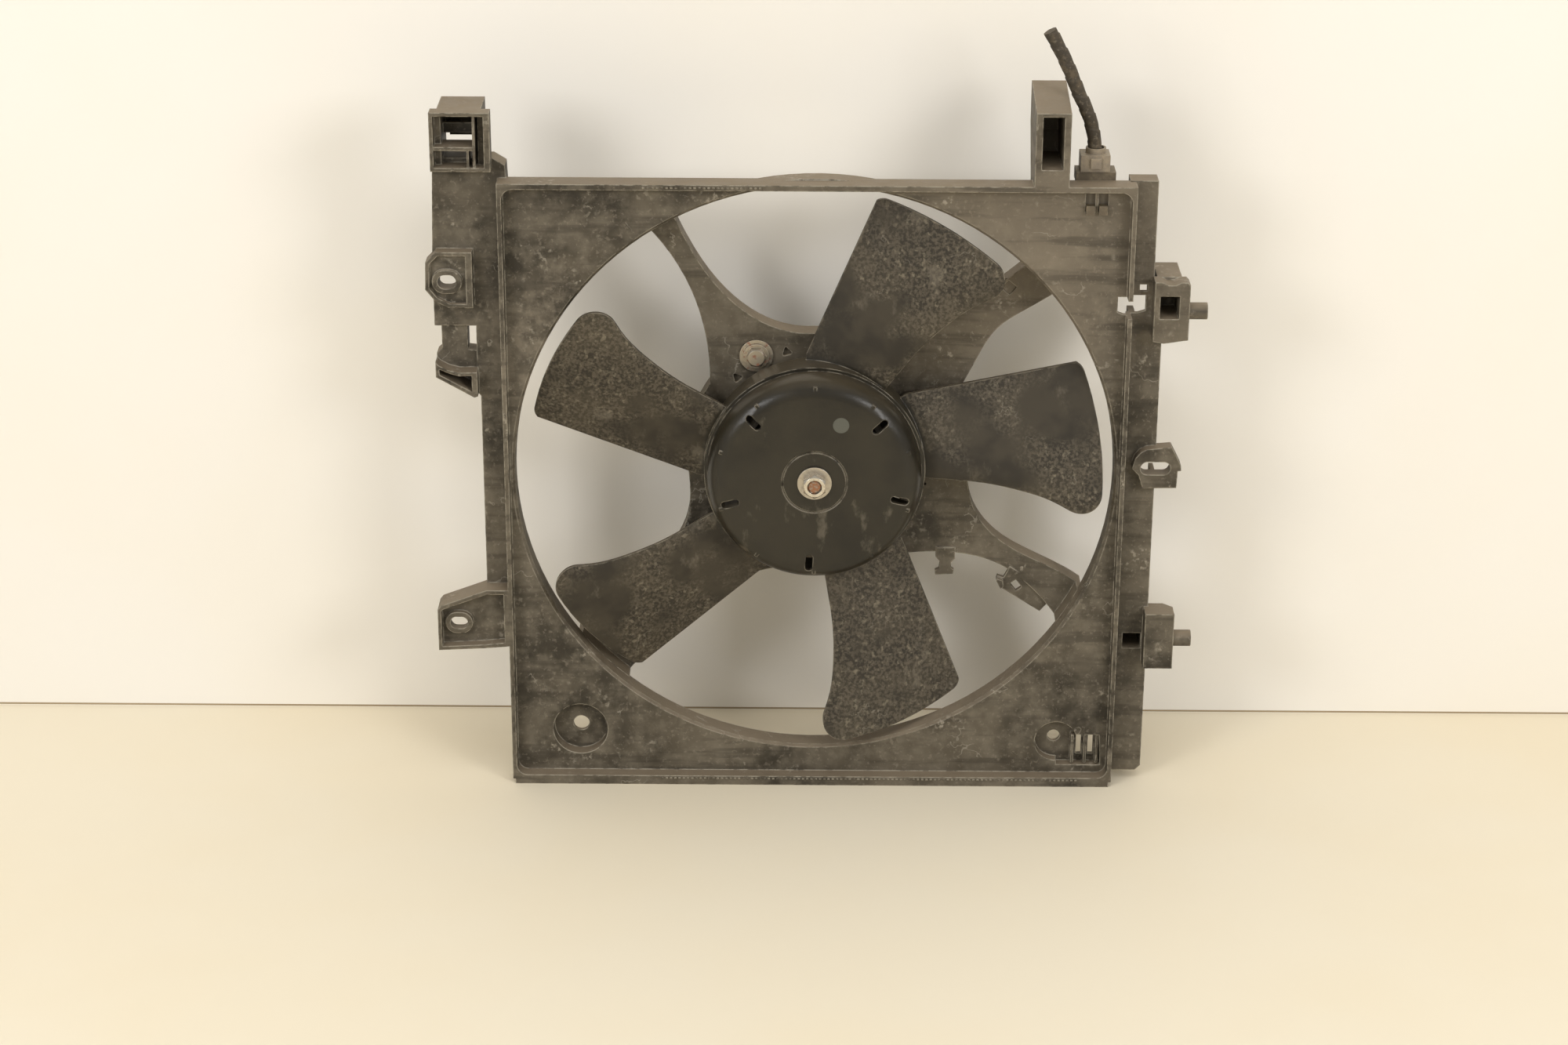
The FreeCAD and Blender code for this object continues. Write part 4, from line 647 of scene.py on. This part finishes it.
def rim_teeth(pitch, material):
    """Rows of fine moulded teeth along the front edge of the rim, bottom and top."""
    sizes = {"Pitch": pitch, "Tooth": TOOTH_SIZE}
    tree, given = geometry_tree("Rim teeth", sizes)
    rows = add(tree, "GeometryNodeMeshToCurve", links={"Mesh": (given, "Geometry")})
    spots = add(tree, "GeometryNodeCurveToPoints", {"mode": "LENGTH"},
                {"Curve": (rows, 0), "Length": (given, "Pitch")})
    tooth = add(tree, "GeometryNodeMeshCube", links={"Size": (given, "Tooth")})
    placed = add(tree, "GeometryNodeInstanceOnPoints", links={"Points": (spots, 0), "Instance": (tooth, 0)})
    close_tree(tree, given, placed)
    ends = [(x * MM, TOOTH_FACE * MM, height * MM)
            for left, right, height in TOOTH_ROWS for x in (left, right)]
    lines = bpy.data.meshes.new("tooth_rows")
    lines.from_pydata(ends, [(i, i + 1) for i in range(0, len(ends), 2)], [])
    return grown("rim_teeth", tree, sizes, material, lines)


class FANSHROUD_OT_fan(bpy.types.Operator):
    """Dresses the fan, its insert, washer, nut and shaft"""
    bl_idname = "fanshroud.fan"
    bl_label = "Fan"

    def execute(self, context):
        smooth_copy("fan", moulded_polypropylene())
        smooth_copy("hub_insert", bright_zinc("die_cast_zinc", "#8f8a80", "#6f6453", 0.35, 0.42))
        smooth_copy("fan_washer", bright_zinc("plated_washer", "#bdb6aa", "#8a7a62", 0.4, 0.3))
        smooth_copy("fan_nut", bright_zinc("plated_nut", "#d8d2c6", "#9a7a52", 0.35, 0.2))
        steel = drawn_steel()
        smooth_copy("shaft", steel)
        thread = shaft_thread(context.scene.fanshroud_thread, steel)
        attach(thread, "fan")
        return {"FINISHED"}


def shaft_thread(settings, material):
    """The ridge of the shaft's thread, wound along the end that stands out of the nut."""
    low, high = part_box("shaft")
    sizes = {"Pitch": settings.pitch, "Depth": settings.depth, "Length": THREAD_LENGTH,
             "Radius": (high[0] - low[0]) / 2 - THREAD_SINK,
             "Start": (0.0, low[1] + THREAD_START + THREAD_LENGTH, 0.0)}
    tree, given = geometry_tree("Shaft thread", sizes)
    turns = add(tree, "ShaderNodeMath", {"operation": "DIVIDE"}, {0: (given, "Length"), 1: (given, "Pitch")})
    spiral = add(tree, "GeometryNodeCurveSpiral", {"Resolution": 28}, {
        "Rotations": (turns, 0), "Start Radius": (given, "Radius"), "End Radius": (given, "Radius"),
        "Height": (given, "Length")})
    ridge = add(tree, "GeometryNodeCurvePrimitiveCircle", {"Resolution": 4}, {"Radius": (given, "Depth")})
    solid = add(tree, "GeometryNodeCurveToMesh", {"Fill Caps": True},
                {"Curve": (spiral, 0), "Profile Curve": (ridge, 0)})
    laid = add(tree, "GeometryNodeTransform", {"Rotation": (math.radians(90), 0.0, 0.0)},
               {"Geometry": (solid, 0), "Translation": (given, "Start")})
    close_tree(tree, given, laid)
    return grown("shaft_thread", tree, sizes, material)


class FANSHROUD_OT_motor(bpy.types.Operator):
    """Dresses the motor: its cover and can, magnets, armature, bearings and brush gear"""
    bl_idname = "fanshroud.motor"
    bl_label = "Motor"

    def execute(self, context):
        paint = painted_steel()
        ferrite = sintered_ferrite()
        bronze = turned_metal("sintered_bronze", "#a8824e", "#6d5230", 0.45)
        finishes = {
            "motor_front_cover": paint,
            "motor_case": paint,
            "magnet_upper": ferrite,
            "magnet_lower": ferrite,
            "armature_core": stacked_laminations(),
            "windings": enamelled_copper(),
            "front_bush": bronze,
            "rear_bush": bronze,
            "commutator": turned_metal("commutator_copper", "#b87445", "#6f4022", 0.3),
            "brush_holder": pressed_dull("phenolic_paper", "#5b3b22", "#7a5433", 0.5, 1.2),
            "carbon_brushes": pressed_dull("pressed_graphite", "#2b2b2c", "#45454a", 0.45, 0.8),
            "brush_springs": bright_zinc("spring_strip", "#a7a49e", "#7c6b52", 0.2, 0.3),
            "motor_lead_grommet": pressed_dull("grommet_rubber", "#24221f", "#4f493f", 0.7, 1.0),
        }
        for node, finish in finishes.items():
            smooth_copy(node, finish)
        return {"FINISHED"}


class FANSHROUD_OT_screws(bpy.types.Operator):
    """Dresses the motor's screws and washers"""
    bl_idname = "fanshroud.screws"
    bl_label = "Motor screws"

    def execute(self, context):
        rusty = bright_zinc("rusty_plated_steel", "#b9b0a0", "#84492a", 0.8, 0.4)
        for node in ("motor_screws", "screw_washers"):
            smooth_copy(node, rusty)
        return {"FINISHED"}


class FANSHROUD_OT_connector(bpy.types.Operator):
    """Dresses the receptacle, its terminals and the loom's plug"""
    bl_idname = "fanshroud.connector"
    bl_label = "Connector"

    def execute(self, context):
        smooth_copy("receptacle", connector_nylon("dark_connector_nylon", "#5d5344", "#85785f", 0.5))
        smooth_copy("harness_plug", connector_nylon("grey_connector_nylon", "#84796a", "#a3957d", 0.45))
        smooth_copy("receptacle_terminals", bright_zinc("tinned_brass", "#cfc9bd", "#8d8470", 0.3, 0.25))
        return {"FINISHED"}


class FANSHROUD_OT_loom(bpy.types.Operator):
    """Makes the taped loom that leaves the plug"""
    bl_idname = "fanshroud.loom"
    bl_label = "Taped loom"

    def execute(self, context):
        settings = context.scene.fanshroud_loom
        route = bpy.data.curves.new("loom_route", "CURVE")
        route.dimensions = "3D"
        route.resolution_u = 12
        spline = route.splines.new("NURBS")
        spline.points.add(len(LOOM_ROUTE) - 1)
        for point, place in zip(spline.points, LOOM_ROUTE):
            point.co = (*place, 1.0)
        spline.order_u = 3
        spline.use_endpoint_u = True
        bare = keep_object("loom_line", route)
        depsgraph = bpy.context.evaluated_depsgraph_get()
        line = bpy.data.meshes.new_from_object(bare.evaluated_get(depsgraph))
        bpy.data.objects.remove(bare)
        tape = taped_tube(settings, route)
        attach(tape, "frame")
        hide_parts("loom_stub")
        return {"FINISHED"}


def taped_tube(settings, route):
    """Tube along the route whose skin steps up at each lap of tape and is slightly lumpy."""
    sizes = {"Radius": settings.diameter / 2, "Lap": settings.lap, "Proud": settings.proud, "Seed": 3.0}
    tree, given = geometry_tree("Taped loom", sizes)
    fine = add(tree, "GeometryNodeResampleCurve", {"mode": "LENGTH", "Length": 0.5 * MM},
               {"Curve": (given, "Geometry")})
    along = add(tree, "GeometryNodeSplineParameter")
    line = add(tree, "GeometryNodeCaptureAttribute", {"domain": "POINT"}, {"Geometry": (fine, 0)})
    line.capture_items.new("FLOAT", "Along")
    tree.links.new(along.outputs["Length"], line.inputs["Along"])
    circle = add(tree, "GeometryNodeCurvePrimitiveCircle", {"Resolution": 40}, {"Radius": (given, "Radius")})
    turn = add(tree, "GeometryNodeSplineParameter")
    ring = add(tree, "GeometryNodeCaptureAttribute", {"domain": "POINT"}, {"Geometry": (circle, 0)})
    ring.capture_items.new("FLOAT", "Round")
    tree.links.new(turn.outputs["Factor"], ring.inputs["Round"])
    tube = add(tree, "GeometryNodeCurveToMesh", {"Fill Caps": True},
               {"Curve": (line, 0), "Profile Curve": (ring, 0)})
    laps = add(tree, "ShaderNodeMath", {"operation": "DIVIDE"}, {0: (line, 1), 1: (given, "Lap")})
    wound = add(tree, "ShaderNodeMath", {"operation": "ADD"}, {0: (laps, 0), 1: (ring, 1)})
    step = add(tree, "ShaderNodeMath", {"operation": "FRACT"}, {0: (wound, 0)})
    # Lumps about 4 mm apart.
    lumps = add(tree, "ShaderNodeTexNoise", {"noise_dimensions": "4D", "Scale": 260.0, "Detail": 2.0},
                {"W": (given, "Seed")})
    mixed = add(tree, "ShaderNodeMath", {"operation": "ADD"}, {0: (step, 0), 1: (lumps, 0)})
    # Centred on the loom's radius, because the step and the lumps each average a half.
    centred = add(tree, "ShaderNodeMath", {"operation": "SUBTRACT", 1: 1.0}, {0: (mixed, 0)})
    height = add(tree, "ShaderNodeMath", {"operation": "MULTIPLY"}, {0: (centred, 0), 1: (given, "Proud")})
    outward = add(tree, "GeometryNodeInputNormal")
    offset = add(tree, "ShaderNodeVectorMath", {"operation": "SCALE"},
                 {0: (outward, 0), "Scale": (height, 0)})
    skin = add(tree, "GeometryNodeSetPosition", links={"Geometry": (tube, 0), "Offset": (offset, 0)})
    close_tree(tree, given, skin)
    return grown("taped_loom", tree, sizes, cloth_tape(), route)


# ---------------------------------------------------------------- stage

def board(name, corners, code, mottle):
    """A flat painted sheet between four corners, which isn't part of the object."""
    mesh = bpy.data.meshes.new(name)
    mesh.from_pydata(corners, [], [(0, 1, 2, 3)])
    mesh.materials.append(painted_board(name + "_board", code, mottle))
    keep_object(name, mesh)


def upright(y, low, high):
    """Corners of a sheet that stands across the stage at y and faces the camera."""
    return [(-BOARD_REACH, y, low), (BOARD_REACH, y, low), (BOARD_REACH, y, high), (-BOARD_REACH, y, high)]


def soft_lamp(name, place, size, power):
    """A square lamp that shines at the fan's centre."""
    lamp = bpy.data.lights.new(name, "AREA")
    lamp.size = size
    lamp.energy = power
    lamp.color = (1.0, 0.99, 0.985)
    holder = keep_object(name, lamp)
    holder.location = place
    holder.rotation_euler = (-Vector(place)).to_track_quat("-Z", "Y").to_euler()
    return holder


class FANSHROUD_OT_stage(bpy.types.Operator):
    """Sets the pale floor and wall, the lamps and the camera"""
    bl_idname = "fanshroud.stage"
    bl_label = "Stage"

    def execute(self, context):
        settings = context.scene.fanshroud_stage
        floor = CAD_BOX[0][2]
        wall = CAD_BOX[1][1] + WALL_ROOM
        board("floor", [(-BOARD_REACH, -BOARD_REACH, floor), (BOARD_REACH, -BOARD_REACH, floor),
                        (BOARD_REACH, BOARD_REACH, floor), (-BOARD_REACH, BOARD_REACH, floor)],
              settings.floor_colour, "#eee0c2")
        board("wall", upright(wall, floor, BOARD_REACH), settings.wall_colour, "#f5efe2")
        # A dark strip at the foot of the wall: painted shade standing for the gap where floor and wall meet.
        board("painted_gap_shade", upright(wall - GAP_EDGE, floor + GAP_EDGE, floor + 4 * GAP_EDGE),
              "#a8977a", "#8f7f64")
        soft_lamp("lamp_left", (-1.15, -1.35, 0.75), 0.55, settings.lamp_power)
        soft_lamp("lamp_right", (1.15, -1.35, 0.75), 0.55, settings.lamp_power)
        top = soft_lamp("lamp_top", (0.0, -0.9, 1.9), 1.2, settings.lamp_power * 1.1)
        top.visible_glossy = False
        world = bpy.data.worlds.new("room")
        world.use_nodes = True
        background = world.node_tree.nodes["Background"]
        background.inputs["Color"].default_value = linear("#fdf8ee")
        background.inputs["Strength"].default_value = settings.sky
        context.scene.world = world
        context.scene.view_settings.view_transform = "Standard"
        camera = keep_object("camera", bpy.data.cameras.new("camera"))
        camera.data.lens = CAMERA_LENS
        camera.data.sensor_width = CAMERA_SENSOR
        camera.location = CAMERA_PLACE
        camera.rotation_euler = [math.radians(angle) for angle in CAMERA_TURN]
        context.scene.camera = camera
        return {"FINISHED"}


# ---------------------------------------------------------------- add-on

class FANSHROUD_PT_panel(bpy.types.Panel):
    """Lists the fan shroud's pieces and settings"""
    bl_idname = "FANSHROUD_PT_panel"
    bl_label = "Fan Shroud"
    bl_space_type = "VIEW_3D"
    bl_region_type = "UI"
    bl_category = "Fan Shroud"

    def draw(self, context):
        for operator in OPERATORS:
            self.layout.operator(operator.bl_idname)
        for name, group in SETTINGS:
            box = self.layout.box()
            for value in group.__annotations__:
                box.prop(getattr(context.scene, name), value)


SETTINGS = (("fanshroud_loom", LoomSettings), ("fanshroud_thread", ThreadSettings),
            ("fanshroud_teeth", ToothSettings), ("fanshroud_stage", StageSettings))
OPERATORS = (FANSHROUD_OT_stage, FANSHROUD_OT_loom, FANSHROUD_OT_shroud, FANSHROUD_OT_fan,
             FANSHROUD_OT_motor, FANSHROUD_OT_screws, FANSHROUD_OT_connector)


def register():
    for name, group in SETTINGS:
        bpy.utils.register_class(group)
        setattr(bpy.types.Scene, name, PointerProperty(type=group))
    for item in OPERATORS + (FANSHROUD_PT_panel,):
        bpy.utils.register_class(item)


def unregister():
    for item in (FANSHROUD_PT_panel,) + OPERATORS[::-1]:
        bpy.utils.unregister_class(item)
    for name, group in SETTINGS:
        delattr(bpy.types.Scene, name)
        bpy.utils.unregister_class(group)


def main():
    register()
    bpy.ops.fanshroud.stage()
    bpy.ops.fanshroud.loom()
    bpy.ops.fanshroud.shroud()
    bpy.ops.fanshroud.fan()
    bpy.ops.fanshroud.motor()
    bpy.ops.fanshroud.screws()
    bpy.ops.fanshroud.connector()


if __name__ == "__main__":
    main()
